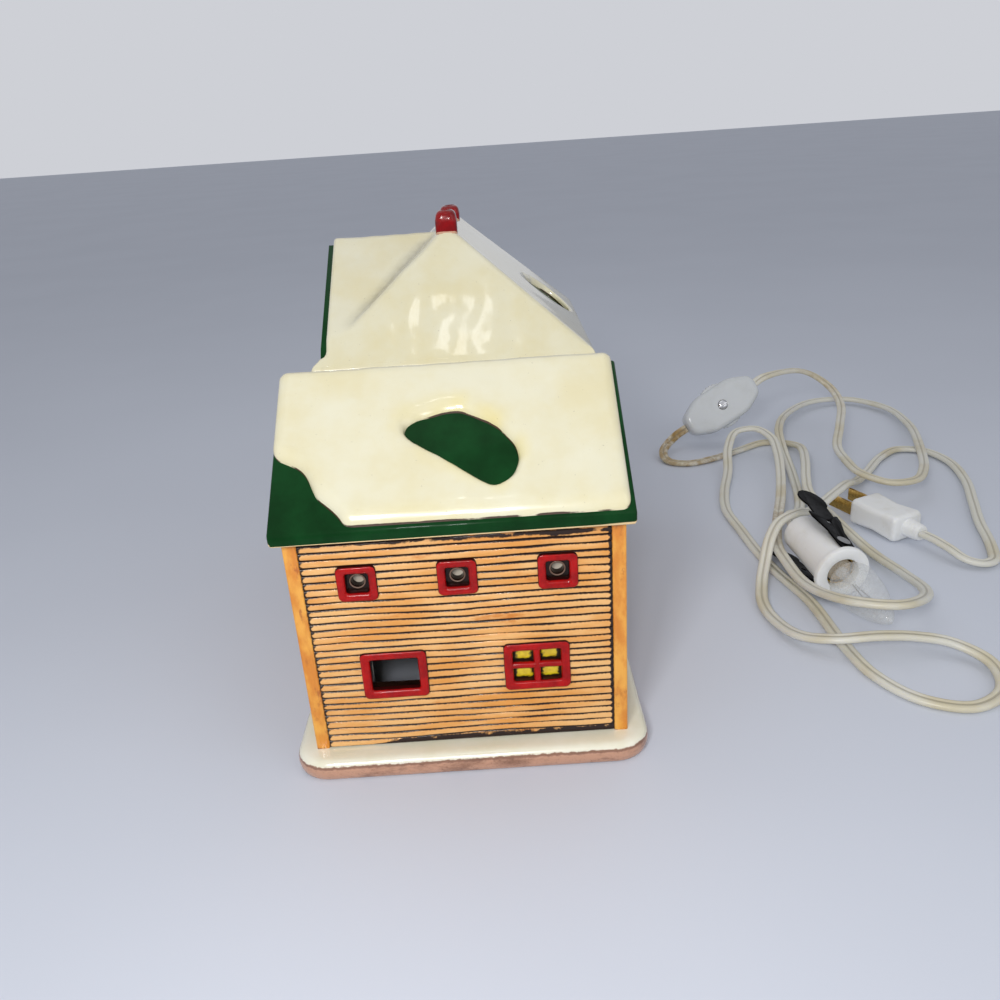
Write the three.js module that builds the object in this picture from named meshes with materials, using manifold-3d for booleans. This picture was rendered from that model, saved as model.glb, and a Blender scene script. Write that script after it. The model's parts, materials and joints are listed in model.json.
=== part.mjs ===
// A lit ceramic village house and its clip-in lamp lead.
// Millimetres, +Z up, origin at the centre of the underside of the base slab.
// The viewer of the near wall looks along +Y, with +X on the right.
import * as THREE from 'three';
import { mergeVertices } from 'three/addons/utils/BufferGeometryUtils.js';
import Module from 'manifold-3d';

const wasm = await Module();
wasm.setup();

// Clearances
const seatGap = 0.3;
const insetGap = 0.15;

// How far a cutter runs past the face that it opens
const past = 1;

// Base slab with its open underside
const base = {
  thickness: 7.5,
  flangeSide: 7.3,
  flangeNear: 8.1,
  flangeFar: 7.9,
  cornerRadius: 12,
  edgeRound: 2.4,
  ledge: 6,
};

// Walls of both blocks
const house = { width: 105, length: 187, wall: 4.5, corner: 4.5 };
const boards = { pitch: 2.53, lap: 0.6 };

// Low wing, whose ridge runs across the view
const wing = {
  depth: 92,
  eaveHeight: 82.2,
  pitch: 36.1,
  ridgeSetback: 42,
  eaveOverhang: 4.6,
  rakeOverhang: 2.6,
};

// Tall main block, hipped toward the viewer and gabled at the far end
const main = {
  ridgeHeight: 149.2,
  sidePitch: 39.7,
  hipPitch: 49.4,
  hipSetback: 37,
  leftInset: 3,
  nearOverhang: 3,
  sideOverhang: 3.5,
  farOverhang: 5,
  eaveReturn: 6,
};

// Cross gable over the front of the main block, on the left
const cross = { ridgeHeight: 145.4, pitch: 33, ridgeSetback: 55, rakeOverhang: 1.5, hipLift: 1 };
const roofSlab = 4.2;

// Snow that lies on the roofs, with its low swells
const snow = {
  thickness: 3.1,
  edge: 1.3,
  shoulder: 6,
  swell: 0.65,
  swellAcross: 28,
  swellUp: 33,
  swellDrift: 0.35,
  cell: 5.6,
  margin: 1,
  eaveMargin: 1,
  gableMargin: 2.1,
};

// The bare patch above the near eave, as (across, up from the eave) in plan
const barePatch = [
  [-14, 28], [-10.5, 31], [-3, 32], [3, 33], [8.6, 30.5], [15.3, 27], [19.7, 22.5], [21.6, 18],
  [20.2, 13], [17, 10], [13.5, 9], [9.5, 10.5], [3.9, 14.6], [-2.7, 18.6], [-8.8, 21.7], [-13.1, 25],
];

// The bare left corner of the near slope, as (in from the snow's left edge, up from the eave)
const bareCorner = [
  [0, 22], [4.4, 19.8], [8, 18], [10.3, 15.5], [12.3, 11.8], [13.7, 9.2], [17.6, 6.2], [20.4, 3.8], [22.6, 1],
];

// The bare slot on the right slope of the main block, as (in from the eave, beyond the block's middle)
const bareSlot = [
  [25, 10.5], [23, 3.5], [17, 1.5], [10, 4.5], [6, 10.5], [6, 20.5], [9, 29.5], [14, 32.5], [20, 28.5],
  [24, 20.5],
];

// Chimneys on the main ridge
const chimney = {
  width: 8.6,
  round: 2.2,
  crown: 1.6,
  nearHeight: 5.8,
  farHeight: 3.4,
  flue: 3.6,
  flueDepth: 3,
  fromHip: 2,
  fromGable: 10,
};

// Windows, as width and height of the frame's outer edge
const frame = { proud: 1, depth: 1.6, round: 1.6, bevel: 0.4, rebate: 1 };
const attic = { width: 12.5, height: 12, border: 2.7, lampHole: 3.8, middle: 62.2 };
const lowWindow = { width: 21.4, height: 17.5, border: 3, muntin: 2.3, middle: 28, pane: 1.2 };
const nearWindows = { atticFromCorner: 21.4, openFromCorner: 29.5, panedFromCorner: 29.3 };
const wingLeft = { atticFromCorner: 11.5, atticMiddle: 47.5, panedFromCorner: 58 };
const wingRight = { atticFromCorner: 46 };
const mainFront = { atticSpread: 27, panedSpread: 30 };
const farWindows = { panedFromCorner: 29.5 };

// Front door, on the left side of the main block
const door = {
  width: 19,
  height: 32,
  border: 2.4,
  leaf: 1.4,
  stile: 2,
  panelDepth: 0.5,
  knob: 2.2,
  knobReach: 1.8,
  knobFromEdge: 2,
  stepSide: 2,
  stepMargin: 2,
  stepHeight: 3.2,
  stepCorner: 1.5,
  stepRound: 0.8,
};

// Round hole in the back wall that the lamp clips into
const lightHole = { diameter: 28.6, height: 32, fromWing: 47 };

// Lamp holder
const socket = {
  length: 37,
  rearRadius: 8.6,
  bodyRadius: 9.8,
  flangeRadius: 12,
  flange: 3,
  shoulder: 3,
  edge: 0.8,
  boreDepth: 23,
  neckRadius: 4,
  neckLength: 2.5,
  flatFromAxis: 9.2,
  place: [150.1, 26.5, 16.6],
  heading: -80.8,
  dip: 4.4,
  roll: -21,
};
const screwShell = { wall: 0.5, clearance: 0.35, length: 17 };
const contact = { radius: 3, height: 2.2 };
const clip = {
  length: 43,
  neck: 8,
  shoulder: 15,
  notch: 10.4,
  lobe: 14.5,
  thickness: 0.8,
  flare: 8,
  fromMouth: 9.5,
  endToRivet: 5,
  corner: 0.8,
  cornerLength: 2,
  taper: 0.5,
  slopeFromRivet: 7,
  shoulderFromRivet: 16,
  shoulderLength: 4,
  hook: 0.8,
  eyelet: 2.6,
  eyeletFromRivet: 14,
};
const rivet = {
  shank: 2.4, hole: 3.6, head: 6, headHeight: 1, seatPlay: 1, headPlay: 0.5, socketDepth: 1.4,
};
const bulb = {
  baseRadius: 5.8,
  baseLength: 14,
  threads: 3,
  threadDepth: 0.4,
  tip: 2.1,
  tipRadius: 2.4,
  cone: 1.4,
  radius: 9.6,
  length: 36,
  shoulder: 8,
  taper: 1.9,
  fullness: 0.75,
};

// In-line rotary switch
const rocker = {
  length: 50,
  width: 25,
  thickness: 14,
  endWidth: 12,
  endLength: 13,
  bevel: 1.4,
  wheelRadius: 14.3,
  wheelThickness: 4,
  wheelTeeth: 24,
  wheelTooth: 0.5,
  play: 0.4,
  floor: 1.5,
  bossRadius: 3,
  screwHead: 5.6,
  screwHeadHeight: 1.4,
  screwDome: 0.9,
  screwSlot: 0.9,
  screwSlotDepth: 0.3,
  screwShank: 2.8,
  place: [154, 191, 24],
  along: [0.867, 0.204, 0.455],
  face: [0, -0.91, 0.4],
};

// Mains plug
const plug = {
  length: 28,
  width: 18,
  height: 13,
  tail: 9,
  tailLength: 8,
  round: 2.5,
  edge: 1,
  bladeWidth: 6.3,
  bladeThickness: 1.5,
  bladeLength: 16,
  bladeRoot: 4,
  bladeSpacing: 12.7,
  place: [196, 68, 7],
  heading: 113.5,
};

// Lamp lead: a limp twin cord, drawn here as a round tube of the same section
const cord = { diameter: 4.4, sides: 8, straight: 6.6, lampSteps: 28, supplySteps: 72 };

// Hand-chosen points between the lamp holder and the switch
const lampRoute = [
  [153, 50, 15], [163, 67, 8.5], [172, 92, 4], [180, 128, 3], [184, 158, 6.5], [190, 186, 9],
  [206, 219, 7.5], [232, 244, 6], [257, 246, 5], [273, 224, 5], [272, 188, 6], [257, 140, 9.5],
  [241, 101, 12], [228, 83, 14], [213, 79, 15.5], [203.5, 92, 16], [204, 114, 15], [208, 137, 14],
  [220, 166, 16], [229, 190, 21], [228, 204, 27], [219, 211, 34], [206, 209, 39],
];

// Hand-chosen points between the switch and the plug
const supplyRoute = [
  [115, 171, 5], [116, 160, 2.8], [126, 155, 2.4], [143, 160, 2.4], [163, 172, 2.4],
  [179, 181, 2.4], [190, 178, 2.6], [195, 166, 5], [193, 150, 8], [187, 128, 9.5], [180, 106, 9],
  [176, 88, 8], [179, 62, 6], [184, 28, 4], [187, 0, 7], [184, -24, 13], [174, -41, 19],
  [160, -50, 23], [147, -44, 22], [140.5, -29, 17.5], [138, -12, 14], [138, 8, 12.5],
  [138.5, 22, 12.5], [142, 36, 12.5], [147, 50, 10.5], [153, 67, 8], [160, 86, 8], [168, 112, 10],
  [174, 138, 13], [175, 154, 16], [169, 166, 17.5], [158, 167, 16], [150, 154, 11], [145, 134, 5],
  [137, 110, 2.6], [132, 86, 2.4], [133, 62, 2.4], [134.3, 40, 2.4], [137, 18, 2.4],
  [143, -10, 2.4], [144.5, -42, 2.4], [148, -64, 2.4], [158, -80, 2.4], [174, -86, 2.4],
  [188, -78, 3], [191, -64, 4.5], [182, -54, 7], [168, -51.5, 9.5], [154, -51, 10.5], [139, -49, 9],
  [129, -41, 6], [124, -26, 3.5], [123, -10, 3], [126, 3, 5], [130, 13, 10], [134.5, 21.5, 17.5],
  [141, 29, 22], [150, 32.5, 24.2], [157, 36, 22.8], [163.5, 42, 22.6], [175, 57, 20.5],
  [190, 77, 17], [205, 100, 8], [220, 122, 3.5], [237, 144, 3], [251, 154, 3], [264, 149, 3],
  [270, 132, 3], [266, 104, 3], [256, 76, 3], [247, 52, 3], [241.5, 33, 3], [237, 20.5, 3],
  [233.4, 13.6, 3.2], [226.8, 10.5, 3.8], [220.2, 13.3, 4.9], [216.8, 20.5, 6.2],
];

// Levels and stations that follow from the sizes above
const baseTop = base.thickness;
const halfWidth = house.width / 2;
const baseLength = base.flangeNear + house.length + base.flangeFar;
const nearFace = -baseLength / 2 + base.flangeNear;
const farFace = nearFace + house.length;
const mainFace = nearFace + wing.depth;
const mainLeft = -halfWidth + main.leftInset;
const tan = (degrees) => Math.tan(THREE.MathUtils.degToRad(degrees));
const rad = THREE.MathUtils.degToRad;

// Roof levels, all to the top of the green slab
const wingRidgeY = nearFace + wing.ridgeSetback;
const wingEaveY = nearFace - wing.eaveOverhang;
const wingEaveZ = baseTop + wing.eaveHeight;
const wingRidgeZ = wingEaveZ + (wingRidgeY - wingEaveY) * tan(wing.pitch);
const wingTop = (y) => wingRidgeZ - Math.abs(y - wingRidgeY) * tan(wing.pitch);
const ridgeZ = baseTop + main.ridgeHeight;
const hipY = mainFace + main.hipSetback;
const mainNearY = mainFace - main.nearOverhang;
const mainFarY = farFace + main.farOverhang;
const mainEaveX = halfWidth + main.sideOverhang;
const crossRidgeY = mainFace + cross.ridgeSetback;
const crossRidgeZ = baseTop + cross.ridgeHeight;
const crossLeftX = mainLeft - cross.rakeOverhang;
const sideTop = (x) => ridgeZ - Math.abs(x) * tan(main.sidePitch);
const hipTop = (y) => ridgeZ - (hipY - y) * tan(main.hipPitch);
const crossTop = (y) => crossRidgeZ - Math.abs(y - crossRidgeY) * tan(cross.pitch);

function mainTop(x, y) {
  const body = Math.min(sideTop(x), hipTop(y));
  const gable = x <= 0 ? Math.min(crossTop(y), hipTop(y) + cross.hipLift) : -Infinity;
  return Math.max(body, gable);
}

// Solids: geometry to manifold and back
function toSolid(geometry) {
  const bare = geometry.clone();
  bare.deleteAttribute('normal');
  bare.deleteAttribute('uv');
  const merged = mergeVertices(bare, 1e-4);
  return new wasm.Manifold(new wasm.Mesh({
    numProp: 3,
    vertProperties: new Float32Array(merged.attributes.position.array),
    triVerts: new Uint32Array(merged.index.array),
  }));
}

function toGeometry(solid) {
  const mesh = solid.getMesh();
  const geometry = new THREE.BufferGeometry();
  geometry.setAttribute('position', new THREE.BufferAttribute(new Float32Array(mesh.vertProperties), 3));
  geometry.setIndex(new THREE.BufferAttribute(new Uint32Array(mesh.triVerts), 1));
  return geometry;
}

const cutAll = (solid, cutters) => cutters.reduce((rest, cutter) => rest.subtract(cutter), solid);

function box(x0, x1, y0, y1, z0, z1) {
  const geometry = new THREE.BoxGeometry(x1 - x0, y1 - y0, z1 - z0);
  geometry.translate((x0 + x1) / 2, (y0 + y1) / 2, (z0 + z1) / 2);
  return toSolid(geometry);
}

// Outlines
const outline = (points) => new THREE.Shape(points.map(([a, b]) => new THREE.Vector2(a, b)));

function roundedRect(width, height, radius, centre = [0, 0]) {
  const r = Math.min(radius, width / 2, height / 2);
  const [a, b] = [width / 2 - r, height / 2 - r];
  const [ca, cb] = centre;
  const shape = new THREE.Shape();
  shape.absarc(ca + a, cb + b, r, 0, Math.PI / 2);
  shape.absarc(ca - a, cb + b, r, Math.PI / 2, Math.PI);
  shape.absarc(ca - a, cb - b, r, Math.PI, Math.PI * 1.5);
  shape.absarc(ca + a, cb - b, r, Math.PI * 1.5, Math.PI * 2);
  shape.closePath();
  return shape;
}

function rect(width, height, centre = [0, 0]) {
  const [a, b] = [width / 2, height / 2];
  const [ca, cb] = centre;
  return outline([[ca - a, cb - b], [ca + a, cb - b], [ca + a, cb + b], [ca - a, cb + b]]);
}

function circle(radius, centre = [0, 0]) {
  const shape = new THREE.Shape();
  shape.absarc(centre[0], centre[1], radius, 0, Math.PI * 2);
  return shape;
}

// Extrusions along each axis: an outline of (y, z) along X, of (x, z) along Y, or of (x, y) along Z
const alongAxis = {
  x: new THREE.Matrix4().makeBasis(
    new THREE.Vector3(0, 1, 0), new THREE.Vector3(0, 0, 1), new THREE.Vector3(1, 0, 0)),
  y: new THREE.Matrix4().makeBasis(
    new THREE.Vector3(1, 0, 0), new THREE.Vector3(0, 0, 1), new THREE.Vector3(0, -1, 0)),
  z: new THREE.Matrix4(),
};

function prism(axis, shape, from, to, options = {}) {
  const geometry = new THREE.ExtrudeGeometry(shape, {
    depth: to - from, bevelEnabled: false, curveSegments: 4, ...options,
  });
  geometry.translate(0, 0, axis === 'y' ? -to : from);
  geometry.applyMatrix4(alongAxis[axis]);
  return toSolid(geometry);
}

// A plate of an outline with both rims softened, from z = 0 up to its height
function softPlate(shape, height, bevel, segments = 2, curveSegments = 4) {
  const geometry = new THREE.ExtrudeGeometry(shape, {
    depth: height - 2 * bevel, bevelEnabled: true, bevelThickness: bevel, bevelSize: bevel,
    bevelOffset: -bevel, bevelSegments: segments, curveSegments,
  });
  geometry.translate(0, 0, bevel);
  return geometry;
}

// A turned piece: its profile is (radius, z) points from axis to axis
function turned(points, segments = 24) {
  const geometry = new THREE.LatheGeometry(points.map(([r, z]) => new THREE.Vector2(r, z)), segments);
  geometry.rotateX(Math.PI / 2);
  return toSolid(geometry);
}

// Wall frames: u runs level along the wall, v up from the base, w outward
function wallFrame(origin, u, w) {
  const basis = new THREE.Matrix4().makeBasis(u, new THREE.Vector3(0, 0, 1), w);
  basis.setPosition(origin);
  return basis;
}

const faces = {
  near: wallFrame(new THREE.Vector3(0, nearFace, baseTop),
    new THREE.Vector3(1, 0, 0), new THREE.Vector3(0, -1, 0)),
  far: wallFrame(new THREE.Vector3(0, farFace, baseTop),
    new THREE.Vector3(-1, 0, 0), new THREE.Vector3(0, 1, 0)),
  upper: wallFrame(new THREE.Vector3(0, mainFace, baseTop),
    new THREE.Vector3(1, 0, 0), new THREE.Vector3(0, -1, 0)),
  wingLeft: wallFrame(new THREE.Vector3(-halfWidth, nearFace, baseTop),
    new THREE.Vector3(0, -1, 0), new THREE.Vector3(-1, 0, 0)),
  wingRight: wallFrame(new THREE.Vector3(halfWidth, nearFace, baseTop),
    new THREE.Vector3(0, 1, 0), new THREE.Vector3(1, 0, 0)),
  front: wallFrame(new THREE.Vector3(mainLeft, mainFace, baseTop),
    new THREE.Vector3(0, -1, 0), new THREE.Vector3(-1, 0, 0)),
  back: wallFrame(new THREE.Vector3(halfWidth, mainFace, baseTop),
    new THREE.Vector3(0, 1, 0), new THREE.Vector3(1, 0, 0)),
};

// A block in a wall frame, from an outline in (u, v), between two depths
function wallPrism(face, shape, from, to, options = {}) {
  const geometry = new THREE.ExtrudeGeometry(shape, {
    depth: to - from, bevelEnabled: false, curveSegments: 2, ...options,
  });
  geometry.translate(0, 0, from);
  geometry.applyMatrix4(faces[face]);
  return toSolid(geometry);
}

// A lapped board wall between two stations along u, up to a height that the roof trims
function boardWall(face, from, to, height, bottom = 0) {
  const rows = Math.ceil(height / boards.pitch);
  const profile = new THREE.Shape();
  profile.moveTo(-house.wall, 0);
  for (let row = 0; row < rows; row += 1) {
    profile.lineTo(0, row * boards.pitch);
    profile.lineTo(-boards.lap, (row + 1) * boards.pitch);
  }
  profile.lineTo(-house.wall, rows * boards.pitch);
  const geometry = new THREE.ExtrudeGeometry(profile, { depth: to - from, bevelEnabled: false });
  geometry.applyMatrix4(new THREE.Matrix4().makeBasis(
    new THREE.Vector3(0, 0, 1), new THREE.Vector3(0, 1, 0), new THREE.Vector3(-1, 0, 0)));
  geometry.translate(to, 0, 0);
  geometry.applyMatrix4(faces[face]);
  const whole = toSolid(geometry);
  if (bottom <= 0) return whole;
  const below = outline([[from - past, -past], [to + past, -past], [to + past, bottom],
    [from - past, bottom]]);
  return whole.subtract(wallPrism(face, below, -house.wall - past, past));
}

// Roof blocks: everything under the green slab's upper faces, down to the ground
function wingBlock() {
  const profile = outline([
    [wingEaveY, 0], [mainFace, 0], [mainFace, wingTop(mainFace)],
    [wingRidgeY, wingRidgeZ], [wingEaveY, wingEaveZ],
  ]);
  const half = halfWidth + wing.rakeOverhang;
  return prism('x', profile, -half, half);
}

function hipSpace(lift) {
  const high = ridgeZ * 2;
  const topY = hipY + (high - ridgeZ - lift) / tan(main.hipPitch);
  const profile = outline([
    [mainNearY, 0], [mainFarY + high, 0], [mainFarY + high, high], [topY, high],
    [mainNearY, hipTop(mainNearY) + lift],
  ]);
  return prism('x', profile, -mainEaveX - past, mainEaveX + past);
}

function mainBlock() {
  const gable = prism('y', outline([
    [-mainEaveX, 0], [mainEaveX, 0], [mainEaveX, sideTop(mainEaveX)], [0, ridgeZ],
    [-mainEaveX, sideTop(mainEaveX)],
  ]), mainNearY, mainFarY);
  const returned = box(-mainEaveX - past, crossLeftX, mainNearY + main.eaveReturn, mainFarY + past,
    -past, ridgeZ);
  const body = gable.intersect(hipSpace(0)).subtract(returned);
  const crossing = prism('x', outline([
    [mainNearY, 0], [mainFarY, 0], [mainFarY, crossTop(mainFarY)], [crossRidgeY, crossRidgeZ],
    [mainNearY, crossTop(mainNearY)],
  ]), crossLeftX, 0);
  return body.add(crossing.intersect(hipSpace(cross.hipLift)));
}

const wingSolid = wingBlock();
const mainSolid = mainBlock();
const slabOf = (block) => block.subtract(block.translate([0, 0, -roofSlab]));
const under = (block) => block.translate([0, 0, -roofSlab - seatGap]);

// Snow: a swelling sheet over a roof block, cut to its outline in plan
const wave = (along, length) => Math.sin(2 * Math.PI * along / length);
const swell = (x, y) => snow.swell * (wave(x + snow.swellDrift * y, snow.swellAcross)
  + wave(y - snow.swellDrift * x, snow.swellUp)) / 2;

function edgeDistance(x, y, loops) {
  let nearest = Infinity;
  for (const loop of loops) {
    for (let i = 0; i < loop.length; i += 1) {
      const [ax, ay] = loop[i];
      const [bx, by] = loop[(i + 1) % loop.length];
      const [dx, dy] = [bx - ax, by - ay];
      const along = THREE.MathUtils.clamp(((x - ax) * dx + (y - ay) * dy) / (dx * dx + dy * dy), 0, 1);
      nearest = Math.min(nearest, Math.hypot(x - ax - along * dx, y - ay - along * dy));
    }
  }
  return nearest;
}

function snowDepth(x, y, loops) {
  const inward = Math.min(edgeDistance(x, y, loops) / snow.shoulder, 1);
  const rise = Math.sqrt(1 - (1 - inward) ** 2);
  return snow.edge + (snow.thickness - snow.edge + swell(x, y)) * rise;
}

// Evenly spread grid lines that pass through the given stations
function gridLines(stations) {
  const lines = [stations[0]];
  for (let i = 1; i < stations.length; i += 1) {
    const [from, to] = [stations[i - 1], stations[i]];
    const cells = Math.max(1, Math.round((to - from) / snow.cell));
    for (let k = 1; k <= cells; k += 1) lines.push(THREE.MathUtils.lerp(from, to, k / cells));
  }
  return lines;
}

// Grid stations that bracket a rim: past it, on it and where its rounded shoulder ends
const lowRim = (edge) => [edge - past, edge, edge + snow.shoulder];
const highRim = (edge) => [edge - snow.shoulder, edge, edge + past];

// Whether a cell's surface is truer when it is split along its rising diagonal
function splitsRising(x0, x1, y0, y1, heightAt) {
  const middle = heightAt((x0 + x1) / 2, (y0 + y1) / 2);
  const rising = (heightAt(x0, y0) + heightAt(x1, y1)) / 2;
  const falling = (heightAt(x1, y0) + heightAt(x0, y1)) / 2;
  return Math.abs(rising - middle) <= Math.abs(falling - middle);
}

// A closed block with the snow's upper surface on top and a flat bottom
function swellingBlock(xs, ys, heightAt) {
  const positions = [];
  const index = [];
  const at = (layer, i, j) => (layer * ys.length + j) * xs.length + i;
  for (const layer of [0, 1]) {
    for (const y of ys) {
      for (const x of xs) positions.push(x, y, layer ? heightAt(x, y) : baseTop);
    }
  }
  for (let j = 0; j + 1 < ys.length; j += 1) {
    for (let i = 0; i + 1 < xs.length; i += 1) {
      const [a, b, c, d] = [at(1, i, j), at(1, i + 1, j), at(1, i + 1, j + 1), at(1, i, j + 1)];
      if (splitsRising(xs[i], xs[i + 1], ys[j], ys[j + 1], heightAt)) index.push(a, b, c, a, c, d);
      else index.push(a, b, d, b, c, d);
      const [e, f, g, h] = [at(0, i, j), at(0, i + 1, j), at(0, i + 1, j + 1), at(0, i, j + 1)];
      index.push(e, g, f, e, h, g);
    }
  }
  const last = [xs.length - 1, ys.length - 1];
  for (let i = 0; i < last[0]; i += 1) {
    index.push(at(0, i, 0), at(0, i + 1, 0), at(1, i + 1, 0), at(0, i, 0), at(1, i + 1, 0), at(1, i, 0));
    index.push(at(0, i + 1, last[1]), at(0, i, last[1]), at(1, i, last[1]));
    index.push(at(0, i + 1, last[1]), at(1, i, last[1]), at(1, i + 1, last[1]));
  }
  for (let j = 0; j < last[1]; j += 1) {
    index.push(at(0, 0, j + 1), at(0, 0, j), at(1, 0, j), at(0, 0, j + 1), at(1, 0, j), at(1, 0, j + 1));
    index.push(at(0, last[0], j), at(0, last[0], j + 1), at(1, last[0], j + 1));
    index.push(at(0, last[0], j), at(1, last[0], j + 1), at(1, last[0], j));
  }
  const geometry = new THREE.BufferGeometry();
  geometry.setAttribute('position', new THREE.Float32BufferAttribute(positions, 3));
  geometry.setIndex(index);
  return toSolid(geometry);
}

function snowCap(block, rim, holes, xs, ys, topAt) {
  const loops = [rim, ...holes];
  const sheet = swellingBlock(xs, ys, (x, y) => topAt(x, y) + snowDepth(x, y, loops));
  const shape = outline(rim);
  for (const hole of holes) shape.holes.push(outline(hole));
  const plan = prism('z', shape, baseTop, ridgeZ * 2);
  return sheet.intersect(plan).subtract(block.translate([0, 0, seatGap]));
}

function wingSnow() {
  const half = halfWidth + wing.rakeOverhang - snow.margin;
  const eave = wingEaveY + snow.eaveMargin;
  const back = mainFace - seatGap;
  const fromEave = ([x, up]) => [x, wingEaveY + up];
  const corner = bareCorner.map(([inward, up]) => fromEave([inward - half, up]));
  const rim = [[half, eave], [half, back], [-half, back], ...corner];
  return snowCap(wingSolid, rim, [barePatch.map(fromEave)],
    gridLines([...lowRim(-half), ...highRim(half)]),
    gridLines([...lowRim(eave), wingRidgeY, ...highRim(back)]), (x, y) => wingTop(y));
}

// A chimney's outline in plan about its own middle
function chimneyPlan(growth) {
  const size = chimney.width + 2 * growth;
  return roundedRect(size, size, chimney.round);
}

const chimneyStations = [hipY + chimney.fromHip, farFace - chimney.fromGable];
const chimneyHeights = [chimney.nearHeight, chimney.farHeight];

function mainSnow() {
  const right = mainEaveX - snow.margin;
  const left = crossLeftX + snow.gableMargin;
  const near = mainNearY + snow.margin;
  const far = mainFarY - snow.margin;
  const cornerX = -mainEaveX + snow.margin;
  const returnY = mainNearY + main.eaveReturn - snow.eaveMargin;
  const rim = [
    [cornerX, near], [right, near], [right, far], [left, far], [left, returnY], [cornerX, returnY],
  ];
  const slot = bareSlot.map(([inward, beyond]) => [
    mainEaveX - inward, (mainFace + farFace) / 2 + beyond]);
  const cap = snowCap(mainSolid, rim, [slot],
    gridLines([cornerX - past, cornerX, left, left + snow.shoulder, 0, ...highRim(right)]),
    gridLines([...lowRim(near), hipY, crossRidgeY, ...highRim(far)]), mainTop);
  return cutAll(cap, chimneyStations.map((station) => (
    prism('z', chimneyPlan(seatGap), baseTop, ridgeZ * 2).translate([0, station, 0]))));
}

function chimneyStack(station, above) {
  const top = ridgeZ + snow.thickness + above;
  const height = top - ridgeZ + chimney.width;
  const stack = softPlate(chimneyPlan(0), height, chimney.crown, 2, 2);
  stack.translate(0, station, top - height);
  const flue = prism('z', circle(chimney.flue / 2, [0, station]),
    top - chimney.flueDepth, top + past);
  return toSolid(stack).subtract(flue).subtract(mainSolid.translate([0, 0, seatGap]));
}

// Base slab, a rounded frame that the walls stand on
function baseSlab() {
  const width = house.width + 2 * base.flangeSide;
  const rim = roundedRect(width, baseLength, base.cornerRadius);
  const slab = softPlate(rim, base.thickness, base.edgeRound, 2, 5);
  const inner = house.width - 2 * (house.wall + base.ledge);
  const innerLength = house.length - 2 * (house.wall + base.ledge);
  const middle = (nearFace + farFace) / 2;
  const hole = roundedRect(inner, innerLength, base.cornerRadius, [0, middle]);
  const opening = prism('z', hole, -past, baseTop + past);
  return toSolid(slab).subtract(opening);
}

// Corner posts, trimmed under their roof
function cornerPost(x0, y0, block) {
  const post = box(x0, x0 + house.corner, y0, y0 + house.corner, baseTop, ridgeZ);
  return post.intersect(under(block));
}

// Window and door pieces in a wall frame
function frameShape(width, height, border, centre) {
  const shape = roundedRect(width, height, frame.round, centre);
  shape.holes.push(rect(width - 2 * border, height - 2 * border, centre));
  return shape;
}

function frameRing(face, width, height, border, centre) {
  const ring = wallPrism(face, frameShape(width, height, border, centre),
    -frame.depth, frame.proud - frame.bevel,
    { bevelEnabled: true, bevelThickness: frame.bevel, bevelSize: frame.bevel,
      bevelOffset: -frame.bevel, bevelSegments: 1 });
  return ring.subtract(wallPrism(face, rect(width * 2, height * 2, centre), -house.wall, -frame.depth));
}

function crossBars(face, centre) {
  const upright = rect(lowWindow.muntin, lowWindow.height - lowWindow.border, centre);
  const level = rect(lowWindow.width - lowWindow.border, lowWindow.muntin, centre);
  const [back, front] = [-frame.depth, frame.proud - frame.bevel];
  return wallPrism(face, upright, back, front).add(wallPrism(face, level, back, front));
}

function frameSeat(face, width, height, centre) {
  return wallPrism(face, rect(width + 2 * insetGap, height + 2 * insetGap, centre), -frame.depth, past);
}

function atticCut(face, centre) {
  return frameSeat(face, attic.width, attic.height, centre)
    .add(wallPrism(face, circle(attic.lampHole / 2, centre), -house.wall - past, past,
      { curveSegments: 5 }));
}

const rebated = (size, border) => size - 2 * border + 2 * frame.rebate;
const paneSize = [rebated(lowWindow.width, lowWindow.border), rebated(lowWindow.height, lowWindow.border)];

function paneCut(face, centre) {
  const [width, height] = paneSize.map((size) => size + 2 * insetGap);
  return frameSeat(face, lowWindow.width, lowWindow.height, centre)
    .add(wallPrism(face, rect(width, height, centre), -frame.depth - lowWindow.pane - insetGap, 0));
}

function openCut(face, centre) {
  const { width, height, border } = lowWindow;
  return frameSeat(face, width, height, centre)
    .add(wallPrism(face, rect(width - 2 * border, height - 2 * border, centre), -house.wall - past, past));
}

function pane(face, centre) {
  return wallPrism(face, rect(...paneSize, centre), -frame.depth - lowWindow.pane, -frame.depth);
}

// Door pieces
const doorU = -(farFace - mainFace) / 2;
const doorMiddle = [doorU, door.stepHeight + seatGap + door.height / 2];
const doorLeafSize = [rebated(door.width, door.border), rebated(door.height, door.border)];

function doorCut() {
  const [width, height] = doorLeafSize.map((size) => size + 2 * insetGap);
  return frameSeat('front', door.width, door.height, doorMiddle)
    .add(wallPrism('front', rect(width, height, doorMiddle), -frame.depth - door.leaf - insetGap, 0));
}

function doorLeaf() {
  const [width, height] = doorLeafSize;
  const leaf = wallPrism('front', rect(width, height, doorMiddle), -frame.depth - door.leaf, -frame.depth);
  const [panelWidth, panelHeight] = [(width - 3 * door.stile) / 2, (height - 3 * door.stile) / 2];
  const panels = [];
  for (const side of [-0.5, 0.5]) {
    for (const level of [-0.5, 0.5]) {
      const centre = [doorMiddle[0] + side * (panelWidth + door.stile),
        doorMiddle[1] + level * (panelHeight + door.stile)];
      panels.push(wallPrism('front', rect(panelWidth, panelHeight, centre),
        -frame.depth - door.panelDepth, 0));
    }
  }
  return cutAll(leaf, panels);
}

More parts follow.
